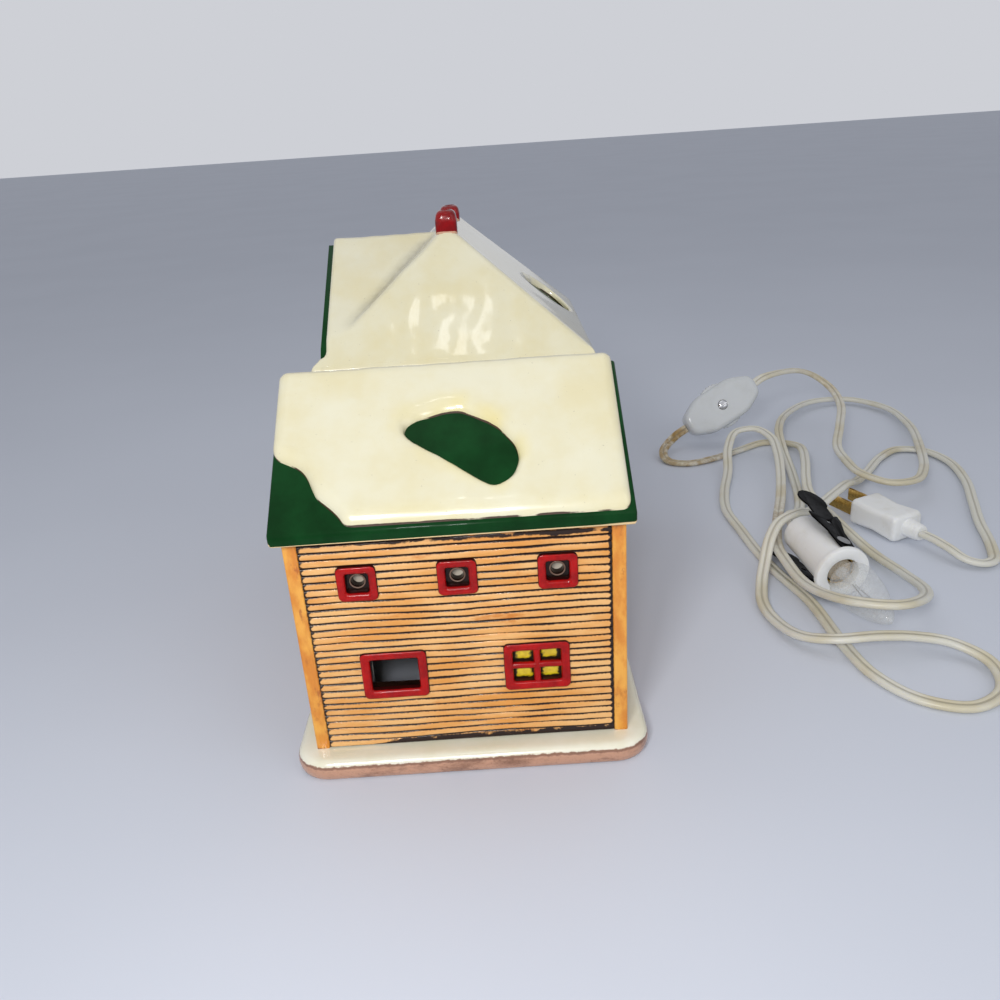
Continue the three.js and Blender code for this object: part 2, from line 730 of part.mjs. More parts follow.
function doorKnob() {
  const [neck, reach] = [door.knob / 3, door.knobReach];
  const knob = turned([[0, 0], [neck, 0], [neck, reach * 0.3], [door.knob / 2, reach * 0.5],
    [neck, reach * 0.9], [0, reach]], 12);
  const across = doorU - door.width / 2 + door.border + door.knobFromEdge;
  const place = new THREE.Vector3(across, doorMiddle[1], -frame.depth + insetGap).applyMatrix4(faces.front);
  return knob.rotate([0, -90, 0]).translate(place.toArray());
}

function doorStep() {
  const reach = base.flangeSide + main.leftInset - door.stepMargin;
  const plan = roundedRect(reach, door.width + 2 * door.stepSide, door.stepCorner);
  const step = softPlate(plan, door.stepHeight, door.stepRound, 1, 2);
  step.translate(mainLeft - reach / 2, (mainFace + farFace) / 2, baseTop);
  return toSolid(step);
}

// Walls with their cuts
const attics = {
  near: [-1, 0, 1].map((side) => [side * (halfWidth - nearWindows.atticFromCorner), attic.middle]),
  wingLeft: [[-wingLeft.atticFromCorner, wingLeft.atticMiddle]],
  wingRight: [[wingRight.atticFromCorner, attic.middle]],
  front: [-1, 1].map((side) => [doorU + side * mainFront.atticSpread, attic.middle]),
};
const paned = {
  near: [[halfWidth - nearWindows.panedFromCorner, lowWindow.middle]],
  wingLeft: [[-wingLeft.panedFromCorner, lowWindow.middle]],
  front: [-1, 1].map((side) => [doorU + side * mainFront.panedSpread, lowWindow.middle]),
  far: [-1, 1].map((side) => [side * (halfWidth - farWindows.panedFromCorner), lowWindow.middle]),
};
const openCentre = [nearWindows.openFromCorner - halfWidth, lowWindow.middle];
const backHole = [lightHole.fromWing, lightHole.height];

function cutsOn(face) {
  const cuts = [
    ...(attics[face] ?? []).map((centre) => atticCut(face, centre)),
    ...(paned[face] ?? []).map((centre) => paneCut(face, centre)),
  ];
  if (face === 'near') cuts.push(openCut(face, openCentre));
  if (face === 'front') cuts.push(doorCut());
  if (face === 'back') {
    cuts.push(wallPrism(face, circle(lightHole.diameter / 2, backHole),
      -house.wall - past, past, { curveSegments: 10 }));
  }
  return cuts;
}

const tallest = main.ridgeHeight;
const wallSpans = {
  near_wall: ['near', -halfWidth + house.corner, halfWidth - house.corner, wing.eaveHeight, wingSolid],
  wing_left_wall: ['wingLeft', -wing.depth, -house.corner, tallest, wingSolid],
  wing_right_wall: ['wingRight', house.corner, wing.depth, tallest, wingSolid],
  main_left_wall: ['front', -(farFace - mainFace) + house.corner, 0, tallest, mainSolid],
  main_right_wall: ['back', 0, farFace - mainFace - house.corner, tallest, mainSolid],
  far_wall: ['far', -halfWidth + house.corner, -mainLeft - house.corner, tallest, mainSolid],
};

function wallSolid([face, from, to, height, block]) {
  return cutAll(boardWall(face, from, to, height).intersect(under(block)), cutsOn(face));
}

function upperWall() {
  const start = wingTop(mainFace) - roofSlab - baseTop;
  const wall = boardWall('upper', mainLeft + house.wall, halfWidth - house.wall, tallest, start);
  return wall.intersect(under(mainSolid));
}

// Lamp holder pieces, each about its own axis with the cord end at z = 0
const shellOuter = bulb.baseRadius + screwShell.clearance + screwShell.wall;
const boreRadius = shellOuter + seatGap;
const boreFloor = socket.length - socket.boreDepth;
const rivetZ = socket.length - clip.fromMouth;
const flangeBack = socket.length - socket.flange;

function socketShell() {
  const body = turned([
    [0, -socket.neckLength], [socket.neckRadius, -socket.neckLength], [socket.neckRadius, 0],
    [socket.rearRadius - socket.edge, 0], [socket.rearRadius, socket.edge],
    [socket.bodyRadius, flangeBack - socket.shoulder], [socket.bodyRadius, flangeBack],
    [socket.flangeRadius - socket.edge, flangeBack], [socket.flangeRadius, flangeBack + socket.edge],
    [socket.flangeRadius, socket.length - socket.edge],
    [socket.flangeRadius - socket.edge, socket.length],
    [boreRadius, socket.length], [boreRadius, boreFloor], [0, boreFloor],
  ], 22);
  const cutters = [];
  for (const side of [-1, 1]) {
    const [inner, outer] = [side * socket.flatFromAxis, side * (socket.bodyRadius + past)];
    cutters.push(box(-socket.bodyRadius, socket.bodyRadius, Math.min(inner, outer),
      Math.max(inner, outer), -past, flangeBack));
    const radius = rivet.shank / 2 + seatGap;
    const depth = rivet.socketDepth + past;
    const hole = turned([[0, 0], [radius, 0], [radius, depth], [0, depth]], 12);
    cutters.push(hole.rotate([-90 * side, 0, 0])
      .translate([0, side * (socket.flatFromAxis - rivet.socketDepth), rivetZ]));
  }
  return cutAll(body, cutters);
}

function screwShellTube() {
  const [inner, outer] = [shellOuter - screwShell.wall, shellOuter];
  const start = boreFloor + contact.height + seatGap;
  return turned([
    [inner, start], [outer, start], [outer, start + screwShell.length],
    [inner, start + screwShell.length], [inner, start],
  ], 20);
}

function centreContact() {
  const floor = boreFloor + seatGap;
  const top = floor + contact.height;
  return turned([[0, floor], [contact.radius, floor], [contact.radius, floor + contact.height / 2],
    [contact.radius / 2, top], [0, top]], 16);
}

// The clip's blade, flat in x and z, with its rivet hole at the origin and the lobe toward -z
function clipBlade() {
  const [neck, shoulder] = [clip.neck / 2, clip.shoulder / 2];
  const [notch, lobe] = [clip.notch / 2, clip.lobe / 2];
  const lobeCentre = clip.length - clip.endToRivet - lobe;
  const opening = Math.asin(notch / lobe);
  const shoulderEnd = clip.shoulderFromRivet + clip.shoulderLength;
  const side = [
    [neck - clip.corner, -clip.endToRivet],
    [neck, clip.cornerLength - clip.endToRivet],
    [neck + clip.taper, clip.slopeFromRivet],
    [shoulder, clip.shoulderFromRivet],
    [shoulder, shoulderEnd],
    [notch, shoulderEnd - clip.hook],
  ];
  const shape = new THREE.Shape();
  shape.moveTo(-side[0][0], side[0][1]);
  for (const [x, y] of side) shape.lineTo(x, y);
  shape.absarc(0, lobeCentre, lobe, -Math.PI / 2 + opening, Math.PI * 1.5 - opening);
  for (const [x, y] of side.slice(1).reverse()) shape.lineTo(-x, y);
  shape.closePath();
  shape.holes.push(circle(rivet.hole / 2), circle(clip.eyelet / 2, [0, clip.eyeletFromRivet]));
  const geometry = new THREE.ExtrudeGeometry(shape, {
    depth: clip.thickness, bevelEnabled: false, curveSegments: 6,
  });
  geometry.rotateX(-Math.PI / 2);
  return toSolid(geometry);
}

function clipRivet(side) {
  const underHead = rivet.socketDepth - seatGap + rivet.seatPlay + clip.thickness + rivet.headPlay;
  const [rim, top] = [underHead + rivet.headHeight / 2, underHead + rivet.headHeight];
  const solid = turned([[0, 0], [rivet.shank / 2, 0], [rivet.shank / 2, underHead],
    [rivet.head / 2, underHead], [rivet.head / 2, rim], [rivet.head / 4, top], [0, top]], 12);
  return solid.rotate([-90 * side, 0, 0])
    .translate([0, side * (socket.flatFromAxis - rivet.socketDepth + seatGap), rivetZ]);
}

const bulbSeat = boreFloor + 2 * seatGap + contact.height;

function bulbBase() {
  const neck = bulbSeat + bulb.tip;
  const top = neck + bulb.baseLength;
  const inner = bulb.baseRadius - bulb.threadDepth;
  const pitch = bulb.baseLength / (bulb.threads + 1);
  const profile = [[0, bulbSeat], [bulb.tipRadius, bulbSeat + bulb.tip / 2],
    [bulb.baseRadius - bulb.cone, neck]];
  for (let thread = 0; thread < bulb.threads; thread += 1) {
    const start = neck + pitch * (thread + 0.5);
    profile.push([inner, start], [bulb.baseRadius, start + pitch / 2]);
  }
  profile.push([inner, top - pitch / 2], [inner, top], [0, top]);
  return turned(profile, 16);
}

function bulbGlass() {
  const start = bulbSeat + bulb.tip + bulb.baseLength + seatGap;
  const mouth = socket.length + seatGap;
  const widest = socket.length + bulb.shoulder;
  const end = socket.length + bulb.length;
  const neck = bulb.baseRadius - bulb.threadDepth;
  const profile = [[0, start], [neck, start], [neck, mouth]];
  for (const part of [1 / 3, 2 / 3, 1]) {
    const radius = THREE.MathUtils.lerp(bulb.baseRadius, bulb.radius, Math.sin(part * Math.PI / 2));
    profile.push([radius, THREE.MathUtils.lerp(mouth, widest, part)]);
  }
  const rings = 7;
  for (let ring = 1; ring < rings; ring += 1) {
    const part = ring / rings;
    const radius = bulb.radius * (1 - part ** bulb.taper) ** bulb.fullness;
    profile.push([radius, THREE.MathUtils.lerp(widest, end, part)]);
  }
  profile.push([0, end]);
  return turned(profile, 18);
}

// Switch pieces, with the long side along x, the wheel's edge along y and the screw face toward +z
function switchOutline() {
  const [a, b] = [rocker.length / 2, rocker.width / 2];
  const [endA, endB] = [a - rocker.endLength, rocker.endWidth / 2];
  return outline([[a, -endB], [a, endB], [endA, b], [-endA, b],
    [-a, endB], [-a, -endB], [-endA, -b], [endA, -b]]);
}

const wheelRoom = rocker.wheelThickness / 2 + rocker.play;
const wheelHollow = rocker.wheelRadius + rocker.play;

function switchHalf(side) {
  const height = rocker.thickness / 2;
  const geometry = softPlate(switchOutline(), 2 * height, rocker.bevel, 2);
  geometry.translate(0, 0, -height);
  const [a, b] = [rocker.length, rocker.width];
  const other = side > 0 ? box(-a, a, -b, b, -a, insetGap) : box(-a, a, -b, b, -insetGap, a);
  const hollow = turned([[0, -wheelRoom], [wheelHollow, -wheelRoom], [wheelHollow, wheelRoom],
    [0, wheelRoom]], 32);
  const half = toSolid(geometry).subtract(other).subtract(hollow);
  const shank = rocker.screwShank / 2 + seatGap;
  if (side > 0) {
    const head = rocker.screwHead / 2 + seatGap;
    const seat = height - rocker.screwHeadHeight;
    return half.subtract(turned([[0, 0], [shank, 0], [shank, seat], [head, seat], [head, height + past],
      [0, height + past]], 16));
  }
  const boss = turned([[0, -wheelRoom - past], [rocker.bossRadius, -wheelRoom - past],
    [rocker.bossRadius, wheelRoom - insetGap], [0, wheelRoom - insetGap]], 16);
  const floor = rocker.floor - height;
  return half.add(boss).subtract(turned([[0, floor], [shank, floor], [shank, height], [0, height]], 16));
}

function thumbwheel() {
  const shape = new THREE.Shape();
  const steps = rocker.wheelTeeth * 2;
  for (let k = 0; k < steps; k += 1) {
    const radius = rocker.wheelRadius - (k % 2) * rocker.wheelTooth;
    const angle = k / steps * Math.PI * 2;
    const point = [radius * Math.cos(angle), radius * Math.sin(angle)];
    if (k === 0) shape.moveTo(...point);
    else shape.lineTo(...point);
  }
  shape.closePath();
  shape.holes.push(circle(rocker.bossRadius + rocker.play));
  return prism('z', shape, -rocker.wheelThickness / 2, rocker.wheelThickness / 2, { curveSegments: 20 });
}

function switchScrew() {
  const face = rocker.thickness / 2;
  const [shank, head] = [rocker.screwShank / 2, rocker.screwHead / 2];
  const foot = rocker.floor + 2 * seatGap - face;
  const seat = face - rocker.screwHeadHeight + seatGap;
  const crown = face + rocker.screwDome;
  const slot = box(-head - past, head + past, -rocker.screwSlot / 2, rocker.screwSlot / 2,
    face - rocker.screwSlotDepth, crown + past);
  return turned([[0, foot], [shank, foot], [shank, seat], [head, seat], [head, face],
    [head * 2 / 3, face + rocker.screwDome * 3 / 4], [0, crown]], 16).subtract(slot);
}

// Plug pieces, with the blades toward +z
function plugBody() {
  const section = roundedRect(plug.width, plug.height, plug.round);
  const geometry = softPlate(section, plug.length, plug.edge, 1, 2);
  geometry.translate(0, 0, -plug.length);
  const tailRadius = plug.tail / 2;
  const tail = turned([[0, -plug.tailLength], [tailRadius - plug.edge, -plug.tailLength],
    [tailRadius, past], [0, past]], 16).translate([0, 0, -plug.length]);
  const pockets = [-1, 1].map((side) => box(
    side * plug.bladeSpacing / 2 - plug.bladeThickness / 2 - seatGap,
    side * plug.bladeSpacing / 2 + plug.bladeThickness / 2 + seatGap,
    -plug.bladeWidth / 2 - seatGap, plug.bladeWidth / 2 + seatGap, -plug.bladeRoot, past));
  return cutAll(toSolid(geometry).add(tail), pockets);
}

function plugBlade(side) {
  const middle = side * plug.bladeSpacing / 2;
  return box(middle - plug.bladeThickness / 2, middle + plug.bladeThickness / 2,
    -plug.bladeWidth / 2, plug.bladeWidth / 2, seatGap - plug.bladeRoot, plug.bladeLength);
}

// Places of the pieces on the lead
function placement(zAxis, upHint, roll, position) {
  const z = zAxis.clone().normalize();
  const y = upHint.clone().addScaledVector(z, -upHint.dot(z)).normalize();
  y.applyAxisAngle(z, roll);
  const x = new THREE.Vector3().crossVectors(y, z);
  const group = new THREE.Group();
  group.quaternion.setFromRotationMatrix(new THREE.Matrix4().makeBasis(x, y, z));
  group.position.set(...position);
  return group;
}

const up = new THREE.Vector3(0, 0, 1);
const [heading, dip] = [rad(socket.heading), rad(socket.dip)];
const lampAxis = new THREE.Vector3(Math.cos(heading) * Math.cos(dip), Math.sin(heading) * Math.cos(dip),
  -Math.sin(dip));
const lampPlace = placement(lampAxis, up, rad(socket.roll), socket.place);
const switchFace = new THREE.Vector3(...rocker.face).normalize();
const switchAlong = new THREE.Vector3(...rocker.along).normalize();
const switchSide = new THREE.Vector3().crossVectors(switchFace, switchAlong);
const switchPlace = placement(switchFace, switchSide, 0, rocker.place);
const plugAxis = new THREE.Vector3(Math.cos(rad(plug.heading)), Math.sin(rad(plug.heading)), 0);
const plugPlace = placement(plugAxis, up, 0, plug.place);

// A port is where a cord meets a piece: the point and the way out of the piece
function port(place, point, way) {
  place.updateMatrixWorld(true);
  return {
    point: new THREE.Vector3(...point).addScaledVector(new THREE.Vector3(...way), seatGap)
      .applyMatrix4(place.matrixWorld),
    way: new THREE.Vector3(...way).transformDirection(place.matrixWorld),
  };
}

const ports = {
  lamp: port(lampPlace, [0, 0, -socket.neckLength], [0, 0, -1]),
  switchLeft: port(switchPlace, [-rocker.length / 2, 0, 0], [-1, 0, 0]),
  switchRight: port(switchPlace, [rocker.length / 2, 0, 0], [1, 0, 0]),
  plug: port(plugPlace, [0, 0, -plug.length - plug.tailLength], [0, 0, -1]),
};

function lead(start, route, end, steps) {
  const points = [
    start.point,
    start.point.clone().addScaledVector(start.way, cord.straight),
    ...route.map((place) => new THREE.Vector3(...place)),
    end.point.clone().addScaledVector(end.way, cord.straight),
    end.point,
  ];
  const path = new THREE.CatmullRomCurve3(points, false, 'centripetal');
  const section = new THREE.Shape();
  for (let side = 0; side < cord.sides; side += 1) {
    const angle = (side + 0.5) / cord.sides * Math.PI * 2;
    const point = [cord.diameter / 2 * Math.cos(angle), cord.diameter / 2 * Math.sin(angle)];
    if (side === 0) section.moveTo(...point);
    else section.lineTo(...point);
  }
  section.closePath();
  return new THREE.ExtrudeGeometry(section, { steps, bevelEnabled: false, extrudePath: path });
}

// Finishes
const finishes = {
  snow: [0xe4e0c4, 0.2], roof: [0x104220, 0.25], siding: [0xe4a862, 0.4], trim: [0xd78c32, 0.35],
  red: [0xa51419, 0.15], chimney: [0x7d0d12, 0.12], yellow: [0xdcbe14, 0.25], brass: [0xc8a24a, 0.35, 1],
  steel: [0xb8b8b8, 0.3, 1], white: [0xe9e9e6, 0.35], black: [0x111113, 0.3], glass: [0xdfe6e8, 0.05],
  cord: [0xd9d2bb, 0.45], edge: [0xa57d69, 0.4],
};

function piece(name, shape, finish) {
  const geometry = shape.isBufferGeometry ? shape : toGeometry(shape);
  const [color, roughness, metalness = 0] = finishes[finish];
  const mesh = new THREE.Mesh(geometry, new THREE.MeshStandardMaterial({ color, roughness, metalness }));
  mesh.name = name;
  return mesh;
}

// The house
const model = new THREE.Group();
model.add(piece('base_slab', baseSlab(), 'snow'));
for (const [name, span] of Object.entries(wallSpans)) model.add(piece(name, wallSolid(span), 'siding'));
model.add(piece('main_near_wall', upperWall(), 'siding'));

const posts = {
  corner_board_near_left: [-halfWidth, nearFace, wingSolid],
  corner_board_near_right: [halfWidth - house.corner, nearFace, wingSolid],
  corner_board_far_left: [mainLeft, farFace - house.corner, mainSolid],
  corner_board_far_right: [halfWidth - house.corner, farFace - house.corner, mainSolid],
};
for (const [name, [x, y, block]] of Object.entries(posts)) {
  model.add(piece(name, cornerPost(x, y, block), 'trim'));
}

model.add(piece('wing_roof', slabOf(wingSolid), 'roof'));
model.add(piece('wing_snow', wingSnow(), 'snow'));
model.add(piece('main_roof', slabOf(mainSolid), 'roof'));
model.add(piece('main_snow', mainSnow(), 'snow'));
['chimney_near', 'chimney_far'].forEach((name, index) => {
  model.add(piece(name, chimneyStack(chimneyStations[index], chimneyHeights[index]), 'chimney'));
});

// Windows and the front door
for (const [face, centres] of Object.entries(attics)) {
  centres.forEach((centre, index) => {
    model.add(piece(`${face}_attic_frame_${index + 1}`,
      frameRing(face, attic.width, attic.height, attic.border, centre), 'red'));
  });
}
for (const [face, centres] of Object.entries(paned)) {
  centres.forEach((centre, index) => {
    const ring = frameRing(face, lowWindow.width, lowWindow.height, lowWindow.border, centre);
    model.add(piece(`${face}_paned_frame_${index + 1}`, ring.add(crossBars(face, centre)), 'red'));
    model.add(piece(`${face}_panes_${index + 1}`, pane(face, centre), 'yellow'));
  });
}
model.add(piece('near_open_frame',
  frameRing('near', lowWindow.width, lowWindow.height, lowWindow.border, openCentre), 'red'));
model.add(piece('door_frame', frameRing('front', door.width, door.height, door.border, doorMiddle), 'red'));
model.add(piece('door_leaf', doorLeaf(), 'roof'));
model.add(piece('door_knob', doorKnob(), 'brass'));
model.add(piece('door_step', doorStep(), 'snow'));

// The lamp holder and bulb
lampPlace.add(
  piece('socket_shell', socketShell(), 'white'),
  piece('socket_screw_shell', screwShellTube(), 'brass'),
  piece('socket_centre_contact', centreContact(), 'brass'),
  piece('clip_rivet_upper', clipRivet(1), 'steel'),
  piece('clip_rivet_lower', clipRivet(-1), 'steel'),
  piece('bulb_base', bulbBase(), 'brass'),
  piece('bulb_glass', bulbGlass(), 'glass'),
);
[['clip_upper', 0], ['clip_lower', Math.PI]].forEach(([name, turn]) => {
  const side = new THREE.Group();
  side.rotation.z = turn;
  const blade = piece(name, clipBlade(), 'black');
  blade.position.set(0, socket.flatFromAxis + rivet.seatPlay, rivetZ);
  blade.rotation.x = rad(clip.flare);
  side.add(blade);
  lampPlace.add(side);
});
model.add(lampPlace);

// The switch, the plug and the two runs of the lead
switchPlace.add(
  piece('switch_cover', switchHalf(1), 'white'),
  piece('switch_base', switchHalf(-1), 'white'),
  piece('switch_thumbwheel', thumbwheel(), 'white'),
  piece('switch_screw', switchScrew(), 'steel'),
);
model.add(switchPlace);
plugPlace.add(
  piece('plug_body', plugBody(), 'white'),
  piece('plug_blade_left', plugBlade(-1), 'brass'),
  piece('plug_blade_right', plugBlade(1), 'brass'),
);
model.add(plugPlace);
model.add(piece('lamp_cord', lead(ports.lamp, lampRoute, ports.switchRight, cord.lampSteps), 'cord'));
model.add(piece('supply_cord', lead(ports.switchLeft, supplyRoute, ports.plug, cord.supplySteps), 'cord'));

export default model;
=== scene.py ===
"""A lit ceramic village house and its clip-in lamp lead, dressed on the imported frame."""

from __future__ import annotations

import json
import logging
import math
from dataclasses import dataclass, field
from enum import Enum
from typing import Iterable, Optional, Sequence

import bpy
import numpy as np
from mathutils import Matrix, Vector, noise
from mathutils.bvhtree import BVHTree
from mathutils.geometry import delaunay_2d_cdt


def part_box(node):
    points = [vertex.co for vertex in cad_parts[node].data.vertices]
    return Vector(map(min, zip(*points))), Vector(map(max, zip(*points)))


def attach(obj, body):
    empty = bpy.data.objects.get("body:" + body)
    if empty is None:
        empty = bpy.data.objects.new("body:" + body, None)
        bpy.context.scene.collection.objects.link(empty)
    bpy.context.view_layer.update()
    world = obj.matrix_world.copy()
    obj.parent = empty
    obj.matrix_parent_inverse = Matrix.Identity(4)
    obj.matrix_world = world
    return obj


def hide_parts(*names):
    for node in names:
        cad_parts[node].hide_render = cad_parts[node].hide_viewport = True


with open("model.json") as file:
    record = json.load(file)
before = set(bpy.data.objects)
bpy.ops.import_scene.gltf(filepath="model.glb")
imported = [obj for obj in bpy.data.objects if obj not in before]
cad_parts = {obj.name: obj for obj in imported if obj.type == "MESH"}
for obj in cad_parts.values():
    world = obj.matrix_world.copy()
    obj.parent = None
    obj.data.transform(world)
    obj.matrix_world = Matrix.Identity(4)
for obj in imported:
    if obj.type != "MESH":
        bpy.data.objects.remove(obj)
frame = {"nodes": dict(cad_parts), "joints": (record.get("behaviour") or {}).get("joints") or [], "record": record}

MM = 0.001
NOISE_SEED = 7  # Vector noise is shifted by the clock unless it is seeded
Point = Sequence[float]
Loop = np.ndarray
LOG = logging.getLogger("village_house")


class Body(str, Enum):
    """The moving bodies of the part."""

    HOUSE = "house_and_lead"
    BULB = "bulb"
    UPPER_CLIP = "upper_clip"
    LOWER_CLIP = "lower_clip"
    WHEEL = "switch_wheel"


class Slot(str, Enum):
    """The material slots of the record."""

    SNOW = "snow_glaze"
    SIDING = "siding_glaze"
    TRIM = "trim_glaze"
    ROOF = "roof_glaze"
    CHIMNEY = "chimney_glaze"
    FRAME = "frame_glaze"
    PANE = "pane_glaze"
    KNOB = "knob_glaze"
    PLASTIC = "white_plastic"
    CORD = "cord_plastic"
    BRASS = "brass_contacts"
    RIVET = "steel_rivet"
    SCREW = "chrome_screw"
    CLIP = "black_clip"
    GLASS = "bulb_glass"


# Shader expressions


class Signal:
    """A socket of one material, on which arithmetic adds Math nodes."""

    def __init__(self, graph: "Graph", socket: bpy.types.NodeSocket) -> None:
        """Wraps a socket.

        Args:
            graph: The material's graph.
            socket: The output socket that carries the value.
        """
        self.graph = graph
        self.socket = socket

    def _math(self, operation: str, first: object, second: object) -> "Signal":
        """Adds one Math node.

        Args:
            operation: The node's operation.
            first: The first operand, a number or a signal.
            second: The second operand, a number or a signal.

        Returns:
            The node's value.
        """
        return self.graph.node("ShaderNodeMath", {"operation": operation}, {0: first, 1: second})

    def __add__(self, other: object) -> "Signal":
        """The sum."""
        return self._math("ADD", self, other)

    __radd__ = __add__

    def __mul__(self, other: object) -> "Signal":
        """The product."""
        return self._math("MULTIPLY", self, other)

    __rmul__ = __mul__

    def __sub__(self, other: object) -> "Signal":
        """The difference."""
        return self._math("SUBTRACT", self, other)

    def __rsub__(self, other: object) -> "Signal":
        """The difference from the other value."""
        return self._math("SUBTRACT", other, self)

    def least(self, other: object) -> "Signal":
        """The smaller of the two values."""
        return self._math("MINIMUM", self, other)

    def step(self, low: float, high: float) -> "Signal":
        """A smooth step from 0 at low to 1 at high.

        Args:
            low: The value at which the step starts.
            high: The value at which it ends. It may be below low, for a falling step.

        Returns:
            The step, from 0 to 1.
        """
        settings = {"interpolation_type": "SMOOTHSTEP"}
        if low <= high:
            inputs = {"Value": self, "From Min": low, "From Max": high}
        else:
            inputs = {"Value": self, "From Min": high, "From Max": low, "To Min": 1.0, "To Max": 0.0}
        return self.graph.node("ShaderNodeMapRange", settings, inputs)


Colour = tuple[float, float, float]


def linear(red: int, green: int, blue: int) -> Colour:
    """Turns a colour as a screen shows it into the renderer's linear values.

    Args:
        red: Red, from 0 to 255.
        green: Green, from 0 to 255.
        blue: Blue, from 0 to 255.

    Returns:
        The linear colour.
    """
    shares = [channel / 255 for channel in (red, green, blue)]
    values = [s / 12.92 if s <= 0.04045 else ((s + 0.055) / 1.055) ** 2.4 for s in shares]
    return values[0], values[1], values[2]


class Graph:
    """The node tree of one material, in the part's own coordinates."""

    def __init__(self, name: str) -> None:
        """Starts an empty material.

        Args:
            name: The material's name.
        """
        self.material = bpy.data.materials.new(name)
        self.material.use_nodes = True
        self.material.node_tree.nodes.clear()
        coordinates = self.material.node_tree.nodes.new("ShaderNodeTexCoord")
        self.place = Signal(self, coordinates.outputs["Object"])

    def node(self, kind: str, settings: Optional[dict] = None, inputs: Optional[dict] = None,
             output: object = 0) -> Signal:
        """Adds a node of any type.

        Args:
            kind: The node's type.
            settings: Its properties, which are set first; stops gives a ramp's stops.
            inputs: Its socket values or the signals linked to them, by name or number.
            output: The name or number of the socket to return.

        Returns:
            The chosen output.
        """
        made = self.material.node_tree.nodes.new(kind)
        for key, value in (settings or {}).items():
            setattr(made, key, value)
        for key, value in (inputs or {}).items():
            if isinstance(value, Signal):
                self.material.node_tree.links.new(value.socket, made.inputs[key])
            elif isinstance(value, tuple) and made.inputs[key].type == "RGBA":
                made.inputs[key].default_value = (*value, 1.0)
            else:
                made.inputs[key].default_value = value
        return Signal(self, made.outputs[output])

    def noise(self, size: float, detail: float = 3.0, rough: float = 0.55, stretch: Point = (1, 1, 1),
              shift: float = 0.0) -> Signal:
        """Noise whose features are about size millimetres across.

        Args:
            size: The size of a feature, in millimetres.
            detail: How many finer layers it has.
            rough: How strong the finer layers are.
            stretch: How much longer the features are along each axis.
            shift: A step aside, for a pattern of its own, in millimetres.

        Returns:
            The noise, around 0.5.
        """
        scale = tuple(1 / (size * MM * s) for s in stretch)
        vector = self.node("ShaderNodeMapping", {}, {
            "Vector": self.place, "Scale": scale, "Location": (shift, shift * 2, shift * 3)})
        return self.node("ShaderNodeTexNoise", {}, {
            "Vector": vector, "Scale": 1.0, "Detail": detail, "Roughness": rough})

    def layer(self, name: str) -> Signal:
        """A value that the mesh holds at each point."""
        return self.node("ShaderNodeAttribute", {"attribute_name": name}, {}, "Fac")

    def height(self) -> Signal:
        """The height above the table, in millimetres."""
        return self.node("ShaderNodeSeparateXYZ", {}, {0: self.place}, 2) * (1 / MM)

    def mix(self, factor: object, first: object, second: object) -> Signal:
        """Mixes two colours.

        Args:
            factor: The share of the second colour.
            first: The first colour or signal.
            second: The second colour or signal.

        Returns:
            The mixed colour.
        """
        made = self.material.node_tree.nodes.new("ShaderNodeMix")
        made.data_type = "RGBA"
        sockets = {s.identifier: s for s in made.inputs}
        for key, value in (("Factor_Float", factor), ("A_Color", first), ("B_Color", second)):
            if isinstance(value, Signal):
                self.material.node_tree.links.new(value.socket, sockets[key])
            else:
                sockets[key].default_value = (*value, 1.0) if isinstance(value, tuple) else value
        return Signal(self, next(s for s in made.outputs if s.identifier == "Result_Color"))

    def bump(self, height: Signal, distance: float) -> Signal:
        """A normal bent by a height, of which 1 stands for a distance in millimetres."""
        return self.node("ShaderNodeBump", {}, {
            "Height": height, "Distance": distance * MM, "Strength": 1.0})

    def finish(self, inputs: dict) -> bpy.types.Material:
        """Ends the tree with the surface shader.

        Args:
            inputs: The shader's socket values and signals, by name.

        Returns:
            The material.
        """
        shader = self.node("ShaderNodeBsdfPrincipled", {}, inputs)
        end = self.material.node_tree.nodes.new("ShaderNodeOutputMaterial")
        self.material.node_tree.links.new(shader.socket, end.inputs["Surface"])
        return self.material


# Finishes


